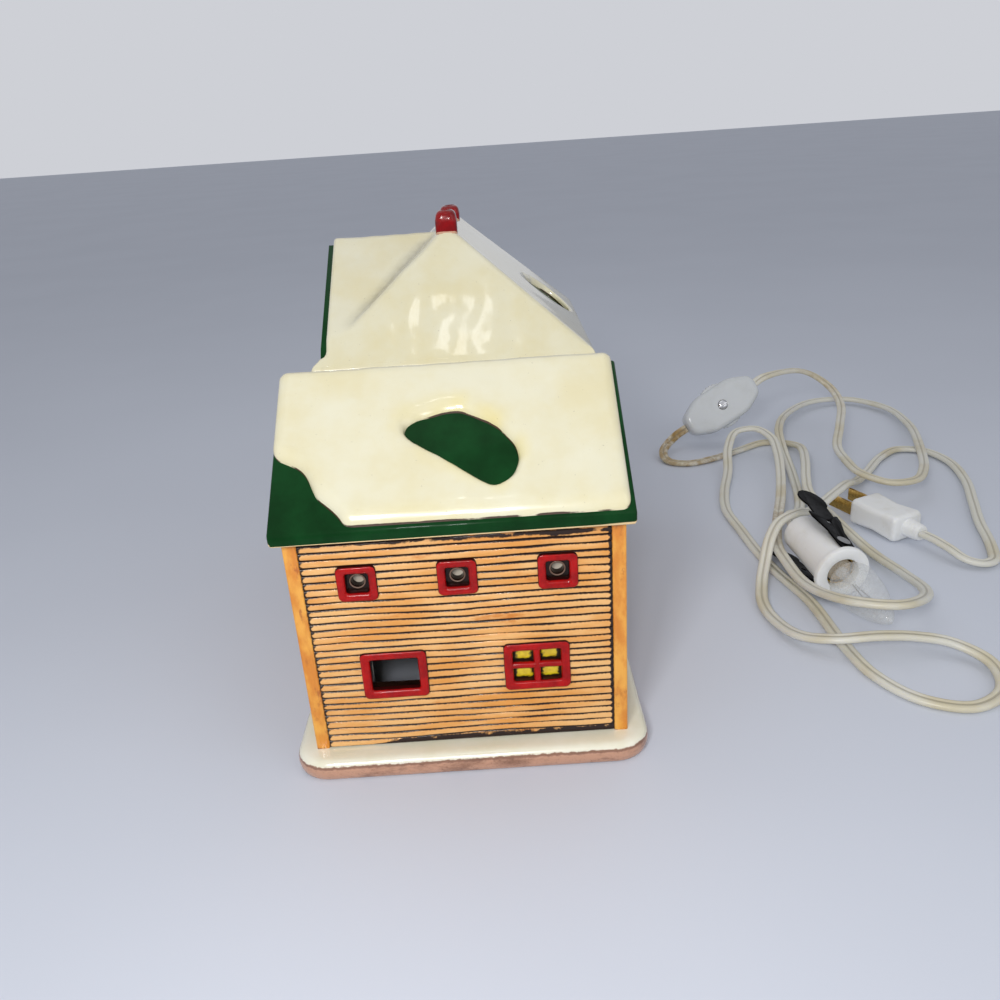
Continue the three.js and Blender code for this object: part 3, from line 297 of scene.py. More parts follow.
@dataclass(frozen=True)
class Glaze:
    """A hand-painted glaze on ceramic, with a dark wash that settles where the mesh says."""

    name: str
    colour: Colour
    second: Colour
    mottle: float = 9.0
    mottle_stretch: Point = (1, 1, 1)
    spread: float = 0.12
    roughness: float = 0.22
    coat: float = 0.5
    wash: Colour = linear(52, 26, 14)
    wash_edge: float = 0.12
    wash_break: float = 0.5
    grain: float = 0.7
    speck: float = 0.0
    waves: float = 0.06
    accent: Optional[Colour] = None
    accent_low: float = 0.6
    tinge: Optional[Colour] = None
    # crease: a colour laid into the valleys as painted shade, as far as the crease layer reaches
    crease: Optional[Colour] = None
    specular: float = 0.5
    ior: float = 1.5

    def colours(self, graph: Graph) -> Signal:
        """The glaze's colour before the wash.

        Args:
            graph: The material's graph.

        Returns:
            The colour.
        """
        broad = graph.noise(self.mottle, 4.0, 0.6, self.mottle_stretch)
        tint = graph.mix(broad.step(0.5 - self.spread, 0.5 + self.spread), self.colour, self.second)
        if self.accent:
            blots = graph.noise(self.mottle * 0.8, 5.0, 0.65, self.mottle_stretch, 11.0)
            tint = graph.mix(blots.step(self.accent_low, self.accent_low + 0.14) * 0.85, tint, self.accent)
        if self.tinge:
            tint = graph.mix(graph.layer("tinge") * 0.5, tint, self.tinge)
        # Painted shade: the crease layer darkens the colour in the valleys between slopes.
        if self.crease:
            soft = graph.layer("crease") * (graph.noise(3.0, 3.0, 0.6, shift=2.0) + 0.25)
            tint = graph.mix(soft.least(0.75), tint, self.crease)
        return tint

    def make(self) -> bpy.types.Material:
        """Builds the glazed material.

        Returns:
            The material.
        """
        graph = Graph(self.name)
        fine = graph.noise(self.grain, 4.0, 0.7, shift=3.0)
        broken = graph.layer("wash") + (fine - 0.5) * self.wash_break
        mask = broken.step(0.5 - self.wash_edge, 0.5 + self.wash_edge)
        tint = graph.mix(mask, self.colours(graph), self.wash)
        if self.speck:
            dots = graph.noise(0.8, 2.0, 0.5, shift=7.0).step(0.735, 0.76) * self.speck
            tint = graph.mix(dots, tint, self.wash)
        return graph.finish({
            "Base Color": tint, "Roughness": mask * 0.25 + self.roughness,
            "Normal": graph.bump(graph.noise(7.0, 2.0, 0.5, shift=5.0), self.waves),
            "Coat Weight": self.coat, "Coat Roughness": 0.06, "Specular IOR Level": self.specular,
            "IOR": self.ior})


@dataclass(frozen=True)
class SlabGlaze(Glaze):
    """The base slab's glaze: pale on top, with a bare copper-brown side."""

    side: Colour = linear(196, 148, 120)
    side_dark: Colour = linear(118, 80, 60)
    side_top: float = 5.6

    def colours(self, graph: Graph) -> Signal:
        """The pale glaze with the brown side under it.

        Args:
            graph: The material's graph.

        Returns:
            The colour.
        """
        top = super().colours(graph)
        patches = graph.noise(6.0, 5.0, 0.65, (2.5, 2.5, 1))
        specks = graph.noise(0.9, 3.0, 0.7, shift=6.0).step(0.5, 0.8) * 0.4
        dark = graph.layer("corner") * 0.45 + patches.step(0.46, 0.7) * 0.75
        brown = graph.mix((dark + specks).least(0.95), self.side, self.side_dark)
        ragged = graph.height() + (graph.noise(2.2, 3.0, 0.6) - 0.5) * 1.3
        rim = ragged.step(self.side_top - 1.1, self.side_top - 0.5) * ragged.step(
            self.side_top + 0.35, self.side_top - 0.1)
        brown = graph.mix(rim * 0.75, brown, self.side_dark)
        outside = graph.layer("side")
        return graph.mix(ragged.step(self.side_top + 0.3, self.side_top - 0.1) * outside, top, brown)


@dataclass(frozen=True)
class EdgedGlaze(Glaze):
    """A glaze that stops short of a slab's lower edge, where a pale line is left."""

    line: Colour = linear(236, 206, 156)

    def colours(self, graph: Graph) -> Signal:
        """The glaze with the pale line.

        Args:
            graph: The material's graph.

        Returns:
            The colour.
        """
        ragged = graph.layer("lip") + (graph.noise(5.0, 2.0, 0.5, (3, 3, 1)) - 0.5) * 0.3
        return graph.mix(ragged.step(0.7, 0.76), super().colours(graph), self.line)


@dataclass(frozen=True)
class Plastic:
    """Moulded plastic, with a little soiling."""

    name: str
    colour: Colour
    soil: Colour
    soiling: float = 0.25
    roughness: float = 0.3
    grain: float = 0.01
    glow: float = 0.0

    def make(self) -> bpy.types.Material:
        """Builds the plastic material.

        Returns:
            The material.
        """
        graph = Graph(self.name)
        patches = graph.noise(11.0, 4.0, 0.6).step(0.45, 0.75) * self.soiling
        tint = graph.mix(patches, self.colour, self.soil)
        return graph.finish({
            # The wash layer darkens the plastic towards the soil colour along the switch's seam, down its screw
            # well and at the holder's flange step.
            "Base Color": graph.mix(graph.layer("wash").step(0.3, 0.9) * 0.7, tint, self.soil),
            "Roughness": graph.noise(3.0, 3.0, 0.6) * 0.12 + (self.roughness - 0.06),
            "Normal": graph.bump(graph.noise(0.5, 3.0, 0.6), self.grain),
            "Subsurface Weight": self.glow, "Subsurface Radius": (0.003, 0.003, 0.002),
            "Subsurface Scale": 0.5})


@dataclass(frozen=True)
class CordPlastic:
    """The lead's limp plastic, yellowed in stretches, and darker in its middle groove."""

    name: str
    colour: Colour = linear(220, 218, 206)
    yellowed: Colour = linear(202, 190, 154)
    stain: Colour = linear(158, 124, 60)
    groove: Colour = linear(128, 118, 92)

    def make(self) -> bpy.types.Material:
        """Builds the cord's material.

        Returns:
            The material.
        """
        graph = Graph(self.name)
        aged = graph.noise(34.0, 3.0, 0.5).step(0.42, 0.66)
        tint = graph.mix(aged * 0.7, self.colour, self.yellowed)
        stained = graph.layer("stain") * graph.noise(5.0, 4.0, 0.65, shift=4.0).step(0.3, 0.62)
        tint = graph.mix(stained, tint, self.stain)
        return graph.finish({
            # The wash layer darkens the middle groove between the strands towards the groove colour.
            "Base Color": graph.mix(graph.layer("wash").step(0.35, 1.0) * 0.75, tint, self.groove),
            "Roughness": graph.noise(4.0, 3.0, 0.6) * 0.2 + 0.28,
            "Normal": graph.bump(graph.noise(1.2, 3.0, 0.6), 0.02),
            "Subsurface Weight": 0.15, "Subsurface Radius": (0.002, 0.002, 0.001),
            "Subsurface Scale": 0.5})


@dataclass(frozen=True)
class Metal:
    """Metal with fine scratches and a little tarnish."""

    name: str
    colour: Colour
    tarnish: Colour
    roughness: float = 0.25
    tarnished: float = 0.3
    metallic: float = 1.0
    ior: float = 1.5

    def make(self) -> bpy.types.Material:
        """Builds the metal material.

        Returns:
            The material.
        """
        graph = Graph(self.name)
        patches = graph.noise(2.4, 4.0, 0.65).step(0.45, 0.7)
        return graph.finish({
            "Base Color": graph.mix(patches * self.tarnished, self.colour, self.tarnish),
            "Metallic": self.metallic, "Roughness": patches * 0.15 + self.roughness,
            "Normal": graph.bump(graph.noise(0.35, 4.0, 0.7, (9, 1, 1)), 0.006), "IOR": self.ior})


@dataclass(frozen=True)
class ClearGlass:
    """The bulb's clear glass, thin and slightly dusty."""

    name: str
    tint: Colour = linear(236, 240, 240)
    dust: Colour = linear(225, 226, 222)

    def make(self) -> bpy.types.Material:
        """Builds the glass material.

        Returns:
            The material.
        """
        graph = Graph(self.name)
        dusty = graph.noise(2.0, 4.0, 0.6).step(0.35, 0.8)
        made = graph.finish({
            "Base Color": graph.mix(dusty, self.tint, self.dust), "Roughness": 0.05,
            "Alpha": dusty * 0.16 + 0.22, "Coat Weight": 1.0, "Coat Roughness": 0.03,
            "Normal": graph.bump(graph.noise(6.0, 2.0, 0.5), 0.05)})
        made.surface_render_method = "BLENDED"
        return made


CREAM = linear(231, 226, 198)
CREAM_WARM = linear(226, 216, 174)

FINISHES: dict[str, object] = {
    # The snow's crease colour is painted shade in the valleys of the roof.
    "snow": Glaze("snow_glaze", CREAM, CREAM_WARM, mottle=24.0, spread=0.22, roughness=0.2,
                  coat=0.8, speck=0.3, waves=0.03, wash=linear(70, 44, 24), wash_break=0.35, grain=1.6,
                  tinge=linear(232, 214, 128), crease=linear(128, 118, 76)),
    "slab": SlabGlaze("slab_glaze", linear(242, 238, 220), CREAM, mottle=22.0, spread=0.2,
                      roughness=0.22, coat=0.6),
    "siding": Glaze("siding_glaze", linear(234, 182, 118), linear(220, 150, 72), mottle=10.0,
                    mottle_stretch=(3, 3, 0.8), spread=0.16, roughness=0.36, coat=0.25, waves=0.02,
                    wash=linear(34, 16, 8), wash_edge=0.3, wash_break=1.1,
                    accent=linear(200, 118, 38), accent_low=0.58, specular=0.25),
    "trim": Glaze("trim_glaze", linear(238, 170, 66), linear(216, 132, 34), mottle=6.0,
                  mottle_stretch=(1, 1, 2.2), spread=0.14, roughness=0.3, coat=0.4,
                  wash=linear(120, 58, 16), wash_break=1.2, accent=linear(176, 90, 20),
                  accent_low=0.55),
    "roof": EdgedGlaze("roof_glaze", linear(16, 64, 28), linear(10, 48, 18), mottle=16.0,
                       spread=0.2, roughness=0.28, coat=0.08, waves=0.05, ior=1.14),
    "red": Glaze("frame_glaze", linear(178, 14, 12), linear(146, 8, 10), mottle=4.0, spread=0.18,
                 roughness=0.24, coat=0.2, waves=0.05, wash=linear(48, 6, 6), wash_break=0.6, specular=0.15),
    "chimney": Glaze("chimney_glaze", linear(150, 10, 14), linear(112, 6, 8), mottle=5.0,
                     spread=0.2, roughness=0.16, coat=0.4, waves=0.08,
                     wash=linear(214, 168, 140), wash_break=0.3, specular=0.15),
    "pane": Glaze("pane_glaze", linear(228, 200, 26), linear(208, 176, 18), mottle=2.5,
                  roughness=0.3, coat=0.4, waves=0.03, wash=linear(36, 24, 10), wash_edge=0.3,
                  wash_break=1.0),
    # The recess glaze is the attic plates' own dark paint; on the open window's sides it is painted shade.
    "recess": Glaze("recess_and_shade_glaze", linear(36, 20, 14), linear(24, 12, 8), mottle=3.0,
                    roughness=0.22, coat=0.2, wash=linear(122, 98, 84), wash_break=0.3, ior=1.2),
    "inside": Glaze("bare_inside", linear(206, 196, 180), linear(190, 178, 160), mottle=20.0,
                    roughness=0.7, coat=0.0),
    "knob": Glaze("knob_glaze", linear(196, 156, 66), linear(166, 124, 44), mottle=1.0,
                  roughness=0.2, coat=0.8),
    "plastic": Plastic("white_plastic", linear(238, 239, 238), linear(196, 190, 168), glow=0.1),
    "switch_plastic": Plastic("switch_plastic", linear(208, 212, 214), linear(176, 176, 168),
                              soiling=0.2, roughness=0.22, glow=0.1),
    "cord": CordPlastic("cord_plastic"),
    "brass": Metal("brass_contact", linear(206, 170, 96), linear(140, 106, 56)),
    "rivet": Metal("steel_rivet", linear(150, 150, 150), linear(84, 80, 76), 0.35),
    "chrome": Metal("chrome_screw", linear(214, 214, 216), linear(150, 148, 146), 0.08, 0.15),
    "clip": Metal("black_clip", linear(8, 8, 9), linear(26, 24, 24), 0.38, 0.35, 0.0, 1.12),
    "glass": ClearGlass("bulb_glass"),
}


class Palette:
    """The materials, each made once, when a piece first asks for it."""

    def __init__(self) -> None:
        """Starts with no material made."""
        self.made: dict[str, bpy.types.Material] = {}

    def __call__(self, key: str) -> bpy.types.Material:
        """Gives a finish's material.

        Args:
            key: The finish's key.

        Returns:
            The material.
        """
        if key not in self.made:
            self.made[key] = FINISHES[key].make()
        return self.made[key]


PALETTE = Palette()


# Outlines, as points round a loop in millimetres


def rounded_rect(width: float, height: float, radius: float, corner: int = 6, side: int = 6) -> Loop:
    """A rectangle with rounded corners, with a point count that depends on no size.

    Args:
        width: The width across.
        height: The height.
        radius: The corner radius.
        corner: How many steps a corner has.
        side: How many steps a straight side has.

    Returns:
        The points, counter-clockwise.
    """
    r = max(min(radius, width / 2, height / 2), 1e-3)
    a, b = width / 2 - r, height / 2 - r
    centres = np.array([(a, -b), (a, b), (-a, b), (-a, -b)])
    points = []
    for index, centre in enumerate(centres):
        angles = (index - 1 + np.arange(corner + 1) / corner) * math.pi / 2
        arc = centre + r * np.stack([np.cos(angles), np.sin(angles)], 1)
        ahead = arc[-1] + centres[(index + 1) % 4] - centre
        shares = np.arange(1, side)[:, None] / side
        points += [arc, arc[-1] + (ahead - arc[-1]) * shares]
    return np.vstack(points)


def circle(radius: float, count: int, centre: Point = (0, 0), start: float = 0.0) -> Loop:
    """A circle of points.

    Args:
        radius: The radius.
        count: How many points it has.
        centre: The centre.
        start: The angle of the first point.

    Returns:
        The points, counter-clockwise.
    """
    angles = start + np.arange(count) / count * 2 * math.pi
    return np.stack([centre[0] + radius * np.cos(angles), centre[1] + radius * np.sin(angles)], 1)


def smooth_outline(corners: Sequence[Point], radius: float, step: float) -> Loop:
    """A closed outline whose corners are rounded.

    Args:
        corners: The corner points.
        radius: The reach of the rounding along each side.
        step: The distance between points.

    Returns:
        The points along the outline.
    """
    shape = np.array(corners, float)
    points = []
    for before, here, after in zip(np.roll(shape, 1, 0), shape, np.roll(shape, -1, 0)):
        start, end = (here + (side - here) / np.linalg.norm(side - here) * min(
            radius, 0.5 * np.linalg.norm(side - here)) for side in (before, after))
        points += [(1 - t) ** 2 * start + 2 * t * (1 - t) * here + t ** 2 * end
                   for t in np.linspace(0, 1, 9)]
    return resample(np.array(points), step)


def run_lengths(line: np.ndarray) -> np.ndarray:
    """How far along a line each of its points lies."""
    return np.concatenate([[0], np.cumsum(np.linalg.norm(np.diff(line, axis=0), axis=1))])


def at_stations(line: np.ndarray, stations: np.ndarray) -> np.ndarray:
    """The points that lie at given lengths along a line."""
    along = run_lengths(line)
    return np.stack([np.interp(stations, along, values) for values in line.T], 1)


def resample(loop: Loop, step: float) -> Loop:
    """Spreads points evenly round a closed loop.

    Args:
        loop: The loop's points.
        step: About how far apart the new points lie.

    Returns:
        The evenly spread points.
    """
    closed = np.vstack([loop, loop[:1]])
    total = run_lengths(closed)[-1]
    count = max(8, int(round(total / step)))
    return at_stations(closed, np.arange(count) / count * total)


def inset(loop: Loop, distance: float) -> Loop:
    """Moves a counter-clockwise loop inward.

    Args:
        loop: The loop's points.
        distance: How far it moves.

    Returns:
        The moved points.
    """
    tangents = np.roll(loop, -1, 0) - np.roll(loop, 1, 0)
    tangents /= np.linalg.norm(tangents, axis=1)[:, None]
    return loop + np.stack([-tangents[:, 1], tangents[:, 0]], 1) * distance


def counter_clockwise(loop: Loop) -> Loop:
    """The loop's points, counter-clockwise."""
    area = np.sum(loop[:, 0] * np.roll(loop[:, 1], -1) - np.roll(loop[:, 0], -1) * loop[:, 1])
    return loop if area > 0 else loop[::-1]


def inside(points: np.ndarray, loop: Loop) -> np.ndarray:
    """Which points lie inside a closed loop.

    Args:
        points: The points to test.
        loop: The loop.

    Returns:
        One truth value per point.
    """
    x, y = points[:, 0][:, None], points[:, 1][:, None]
    ax, ay = loop[:, 0], loop[:, 1]
    bx, by = np.roll(ax, -1), np.roll(ay, -1)
    crosses = (ay > y) != (by > y)
    with np.errstate(divide="ignore", invalid="ignore"):
        at = ax + (y - ay) * (bx - ax) / (by - ay)
    return (np.sum(crosses & (x < at), axis=1) % 2) == 1


def distance_to(points: np.ndarray, loops: Iterable[Loop]) -> np.ndarray:
    """How far each point lies from the nearest loop.

    Args:
        points: The points.
        loops: The closed loops.

    Returns:
        One distance per point.
    """
    nearest = np.full(len(points), np.inf)
    for loop in loops:
        start, step = loop, np.roll(loop, -1, 0) - loop
        for begin in range(0, len(points), 4000):
            part = points[begin:begin + 4000]
            gap = part[:, None, :] - start[None]
            share = np.clip(np.sum(gap * step, 2) / np.maximum(np.sum(step * step, 1), 1e-12), 0, 1)
            away = np.linalg.norm(gap - share[..., None] * step, axis=2).min(1)
            nearest[begin:begin + 4000] = np.minimum(nearest[begin:begin + 4000], away)
    return nearest


def wobble(x: float, y: float, z: float = 0.0) -> float:
    """Smooth noise from -1 to 1 at a place."""
    return noise.noise(Vector((x, y, z)))


def wobble_field(x: np.ndarray, y: np.ndarray, z: float) -> np.ndarray:
    """Smooth noise at every crossing of two rows of stations."""
    return np.array([[wobble(a, b, z) for a in x] for b in y])


def at_level(loop: Loop, z: float) -> np.ndarray:
    """A loop in plan, lifted to a level."""
    return np.column_stack([loop, np.full(len(loop), z)])


# Meshes


class Skin:
    """Points, faces and their layers, gathered in millimetres."""

    def __init__(self) -> None:
        """Starts with nothing gathered."""
        self.points: list[np.ndarray] = []
        self.faces: list[tuple[int, ...]] = []
        self.finishes: list[int] = []
        self.layers: dict[str, list[np.ndarray]] = {}
        self.count = 0

    def add(self, points: np.ndarray, faces: Iterable[Sequence[int]], finish: int = 0,
            **layers: object) -> None:
        """Adds points and the faces between them.

        Args:
            points: The points, in millimetres.
            faces: Faces, as numbers of these points.
            finish: The number of the piece's material.
            **layers: A value for each point, or one for all, by layer name.
        """
        points = np.asarray(points, float).reshape(-1, 3)
        for name in set(self.layers) | set(layers):
            held = self.layers.setdefault(name, [np.zeros(self.count)] if self.count else [])
            held.append(np.broadcast_to(np.asarray(layers.get(name, 0.0), float), (len(points),)))
        made = [tuple(int(i) + self.count for i in face) for face in faces]
        self.faces += made
        self.finishes += [finish] * len(made)
        self.points.append(points)
        self.count += len(points)

    def grid(self, points: np.ndarray, wrap: bool = False, keep: Optional[np.ndarray] = None,
             finish: int = 0, flip: bool = False, **layers: object) -> None:
        """Adds a grid of quads.

        Args:
            points: Rows of points, as an array of rows by columns by 3.
            wrap: Whether each row closes on itself.
            keep: Which cells are made, where not all are.
            finish: The number of the piece's material.
            flip: Whether the faces look the other way.
            **layers: A value for each point, or one for all, by layer name.
        """
        rows, columns = points.shape[:2]
        faces = []
        for r in range(rows - 1):
            for c in range(columns if wrap else columns - 1):
                if keep is not None and not keep[r, c]:
                    continue
                n = (c + 1) % columns
                face = (r * columns + c, r * columns + n, (r + 1) * columns + n, (r + 1) * columns + c)
                faces.append(face[::-1] if flip else face)
        flat = {k: np.asarray(v, float).reshape(-1) if np.ndim(v) else v for k, v in layers.items()}
        self.add(points.reshape(-1, 3), faces, finish, **flat)

    def loft(self, loops: Sequence[np.ndarray], finish: int = 0, close: tuple[bool, bool] = (True, True),
             **layers: object) -> None:
        """Adds a skin through closed loops of equal counts, with flat ends where asked.

        Args:
            loops: The loops, each of points in 3-D.
            finish: The number of the piece's material.
            close: Whether the first and the last loop are filled.
            **layers: A value for each loop, or for all, by layer name.
        """
        stack = np.array(loops, float)
        spread = {k: np.repeat(np.asarray(v, float), stack.shape[1]) if np.ndim(v) else v
                  for k, v in layers.items()}
        self.grid(stack, wrap=True, finish=finish, **spread)
        for end, wanted in zip((0, -1), close):
            if not wanted:
                continue
            ring = stack[end]
            centre = ring.mean(0)
            count = len(ring)
            faces = [(k, (k + 1) % count, count) for k in range(count)]
            if end == 0:
                faces = [face[::-1] for face in faces]
            value = {k: float(np.asarray(v)[end]) if np.ndim(v) else v for k, v in layers.items()}
            self.add(np.vstack([ring, centre]), faces, finish, **value)

    def turned(self, profile: Sequence[Point], count: int = 64, wash: object = 0.0) -> None:
        """Adds a surface turned about the local z axis.

        Args:
            profile: Points of (radius, z), so that the outside faces out as z rises.
            count: How many points a turn has.
            wash: The wash at each profile point, or at all.
        """
        loops = [at_level(circle(max(r, 1e-4), count), z) for r, z in profile]
        self.loft(loops, 0, (False, False), wash=wash)

    def move(self, matrix: Matrix) -> "Skin":
        """Moves everything gathered so far.

        Args:
            matrix: The move, in millimetres.

        Returns:
            The skin itself.
        """
        turn = np.array(matrix, float)
        self.points = [p @ turn[:3, :3].T + turn[:3, 3] for p in self.points]
        return self

    def ripple(self, size: float, depth: float, seed: float = 0.0) -> "Skin":
        """Moves every point a little by smooth noise, as a hand-made surface is.

        Args:
            size: The length of a ripple, in millimetres.
            depth: How far a point may move.
            seed: A shift of the noise.

        Returns:
            The skin itself.
        """
        aside = Vector((seed, seed, seed))
        self.points = [part + depth * np.array([noise.noise_vector(Vector(p) / size + aside) for p in part])
                       for part in self.points]
        return self

    def build(self, name: str, finishes: Sequence[str], slot: Slot, nodes: Sequence[str] = (),
              body: Body = Body.HOUSE, crease: float = 50.0) -> bpy.types.Object:
        """Makes the object and hands it to the frame.

        Args:
            name: The piece's name.
            finishes: The keys of its finishes, in the order of their numbers.
            slot: Not used.
            nodes: The nodes that it stands for.
            body: The body that it rides on.
            crease: The angle past which an edge is shaded sharp, in degrees.

        Returns:
            The object, in metres.
        """
        mesh = bpy.data.meshes.new(name)
        mesh.from_pydata((np.vstack(self.points) * MM).tolist(), [], self.faces)
        mesh.validate()
        for key in finishes:
            mesh.materials.append(PALETTE(key))
        if len(mesh.polygons) == len(self.finishes):
            mesh.polygons.foreach_set("material_index", np.array(self.finishes, np.int32))
        for layer, parts in self.layers.items():
            held = mesh.attributes.new(layer, "FLOAT", "POINT")
            held.data.foreach_set("value", np.concatenate(parts).astype(np.float32))
        piece = bpy.data.objects.new(name, mesh)
        add_modifier(piece, "WELD", merge_threshold=0.004 * MM)
        return place_piece(piece, crease, slot, nodes, body)


def add_modifier(piece: bpy.types.Object, kind: str, **settings: object) -> None:
    """Adds a modifier to a piece.

    Args:
        piece: The piece.
        kind: The modifier's type.
        **settings: Its properties, which are set in their order.
    """
    modifier = piece.modifiers.new(kind.lower(), kind)
    for key, value in settings.items():
        setattr(modifier, key, value)


def settle(piece: bpy.types.Object, crease: float) -> None:
    """Links a piece, writes its modifiers into its mesh and shades it smooth.

    Args:
        piece: The piece.
        crease: The angle past which an edge is shaded sharp, in degrees.
    """
    bpy.context.scene.collection.objects.link(piece)
    graph = bpy.context.evaluated_depsgraph_get()
    graph.update()
    made = bpy.data.meshes.new_from_object(piece.evaluated_get(graph))
    piece.modifiers.clear()
    old = piece.data
    piece.data = made
    made.name = piece.name
    bpy.data.meshes.remove(old)
    made.polygons.foreach_set("use_smooth", np.ones(len(made.polygons), bool))
    made.set_sharp_from_angle(angle=math.radians(crease))


def place_piece(piece: bpy.types.Object, crease: float, slot: Slot, nodes: Sequence[str],
                body: Body) -> bpy.types.Object:
    """Settles a piece and hands it to the frame.

    Args:
        piece: The piece.
        crease: The angle past which an edge is shaded sharp, in degrees.
        slot: Not used.
        nodes: The nodes that it stands for.
        body: The body that it rides on.

    Returns:
        The piece.
    """
    settle(piece, crease)
    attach(piece, body.value)
    if nodes:
        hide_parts(*nodes)
    LOG.info("%s: %d faces", piece.name, len(piece.data.polygons))
    return piece


def softened(node: str, name: str, finish: str, slot: Slot, width: float, segments: int = 2,
             crease: float = 30.0, body: Body = Body.HOUSE) -> bpy.types.Object:
    """Builds a copy of a node with flat faces joined up and its edges rounded.

    Args:
        node: The node that it stands for.
        name: The piece's name.
        finish: The key of its finish.
        slot: Not used.
        width: The width of the rounding, in millimetres.
        segments: How many steps the rounding has.
        crease: The angle past which an edge is shaded sharp, in degrees.
        body: The body that it rides on.

    Returns:
        The piece.
    """
    piece = bpy.data.objects.new(name, frame["nodes"][node].data.copy())
    piece.data.materials.clear()
    piece.data.materials.append(PALETTE(finish))
    piece.data.attributes.new("wash", "FLOAT", "POINT")
    add_modifier(piece, "WELD", merge_threshold=0.01 * MM)
    add_modifier(piece, "DECIMATE", decimate_type="DISSOLVE", angle_limit=math.radians(1.0))
    add_modifier(piece, "BEVEL", width=width * MM, segments=segments, limit_method="ANGLE",
                 angle_limit=math.radians(25), harden_normals=True)
    return place_piece(piece, crease, slot, [node], body)


# The house


def box(node: str) -> tuple[np.ndarray, np.ndarray]:
    """A node's lowest and highest corners, in millimetres."""
    low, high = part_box(node)
    return np.array(low) / MM, np.array(high) / MM


class Roofs:
    """The roof slabs as surfaces that can be asked for their heights."""

    def __init__(self, nodes: Sequence[str]) -> None:
        """Reads the slabs from the frame.

        Args:
            nodes: The names of the roof nodes.
        """
        points: list[Vector] = []
        faces: list[tuple[int, ...]] = []
        for node in nodes:
            data = frame["nodes"][node].data
            faces += [tuple(i + len(points) for i in p.vertices) for p in data.polygons]
            points += [v.co / MM for v in data.vertices]
        self.tree = BVHTree.FromPolygons(points, faces)

    def top(self, x: float, y: float) -> Optional[float]:
        """The height of the upper face over a place, or None past the slab."""
        hit = self.tree.ray_cast(Vector((x, y, 400.0)), Vector((0, 0, -1)))[0]
        return hit.z if hit else None

    def underside(self, x: float, y: float, start: float) -> Optional[float]:
        """The height of the lower face over a place, or None past the slab."""
        hit = self.tree.ray_cast(Vector((x, y, start)), Vector((0, 0, 1)))[0]
        return hit.z if hit else None

    def soft_top(self, x: float, y: float, reach: float) -> float:
        """The upper face's height, averaged over a small ring so that its creases turn soft.

        Args:
            x: Across, in millimetres.
            y: Along, in millimetres.
            reach: The ring's radius, in millimetres.

        Returns:
            The averaged height.
        """
        ring = [(reach * math.cos(k * math.pi / 4), reach * math.sin(k * math.pi / 4)) for k in range(8)]
        heights = [self.top(x + dx, y + dy) for dx, dy in [(0.0, 0.0), *ring]]
        found = [h for h in heights if h is not None]
        return sum(found) / len(found)


@dataclass
class Opening:
    """A window or door in a wall, by its frame's middle and outer size."""

    node: str
    axes: WallFrame
    u: float
    v: float
    width: float
    height: float

    def point(self, u: object, v: object, w: object) -> np.ndarray:
        """Turns places round the frame's middle into places in space."""
        return self.axes.point(self.u + u, self.v + v, w)

    def ring(self, distance: float, radius: float, w: float) -> np.ndarray:
        """A rounded loop a distance in from the frame's edge, at a depth."""
        loop = rounded_rect(self.width - 2 * distance, self.height - 2 * distance, radius)
        return self.point(loop[:, 0], loop[:, 1], w)


@dataclass
class WallFrame:
    """A wall's own axes: u level along it, v up from the base slab, w outward."""

    origin: np.ndarray
    along: np.ndarray
    outward: np.ndarray

    def point(self, u: object, v: object, w: object) -> np.ndarray:
        """Turns wall coordinates into a place.

        Args:
            u: Along the wall.
            v: Up from the base slab.
            w: Outward from the wall's face.

        Returns:
            The place or places.
        """
        u, v, w = np.broadcast_arrays(np.asarray(u, float), np.asarray(v, float), np.asarray(w, float))
        up = np.array([0.0, 0.0, 1.0])
        return self.origin + u[..., None] * self.along + v[..., None] * up + w[..., None] * self.outward

    def across(self, place: np.ndarray) -> tuple[float, float]:
        """A place's u and v."""
        gap = place - self.origin
        return float(gap @ self.along), float(gap[2])


@dataclass
class House:
    """The levels and stations of the house, read from the frame."""

    base_top: float = field(init=False)
    wall: float = field(init=False)
    half_width: float = field(init=False)
    near_face: float = field(init=False)
    far_face: float = field(init=False)
    main_face: float = field(init=False)
    walls: dict[str, WallFrame] = field(init=False)

    def __post_init__(self) -> None:
        """Works the levels out from the nodes' boxes."""
        near_low, near_high = box("near_wall")
        self.base_top = float(box("base_slab")[1][2])
        self.wall = float(near_high[1] - near_low[1])
        self.half_width = float(box("corner_board_near_right")[1][0])
        self.near_face = float(near_low[1])
        self.far_face = float(box("far_wall")[1][1])
        self.main_face = float(box("main_right_wall")[0][1])
        main_left = float(box("main_left_wall")[0][0])
        x, y = np.array([1.0, 0, 0]), np.array([0, 1.0, 0])
        places = {
            "near": (0, self.near_face, x, -y),
            "far": (0, self.far_face, -x, y),
            "upper": (0, self.main_face, x, -y),
            "wing_left": (-self.half_width, self.near_face, -y, -x),
            "wing_right": (self.half_width, self.near_face, y, x),
            "front": (main_left, self.main_face, -y, -x),
            "back": (self.half_width, self.main_face, y, x),
        }
        self.walls = {wall: WallFrame(np.array([across, along, self.base_top]), level, outward)
                      for wall, (across, along, level, outward) in places.items()}


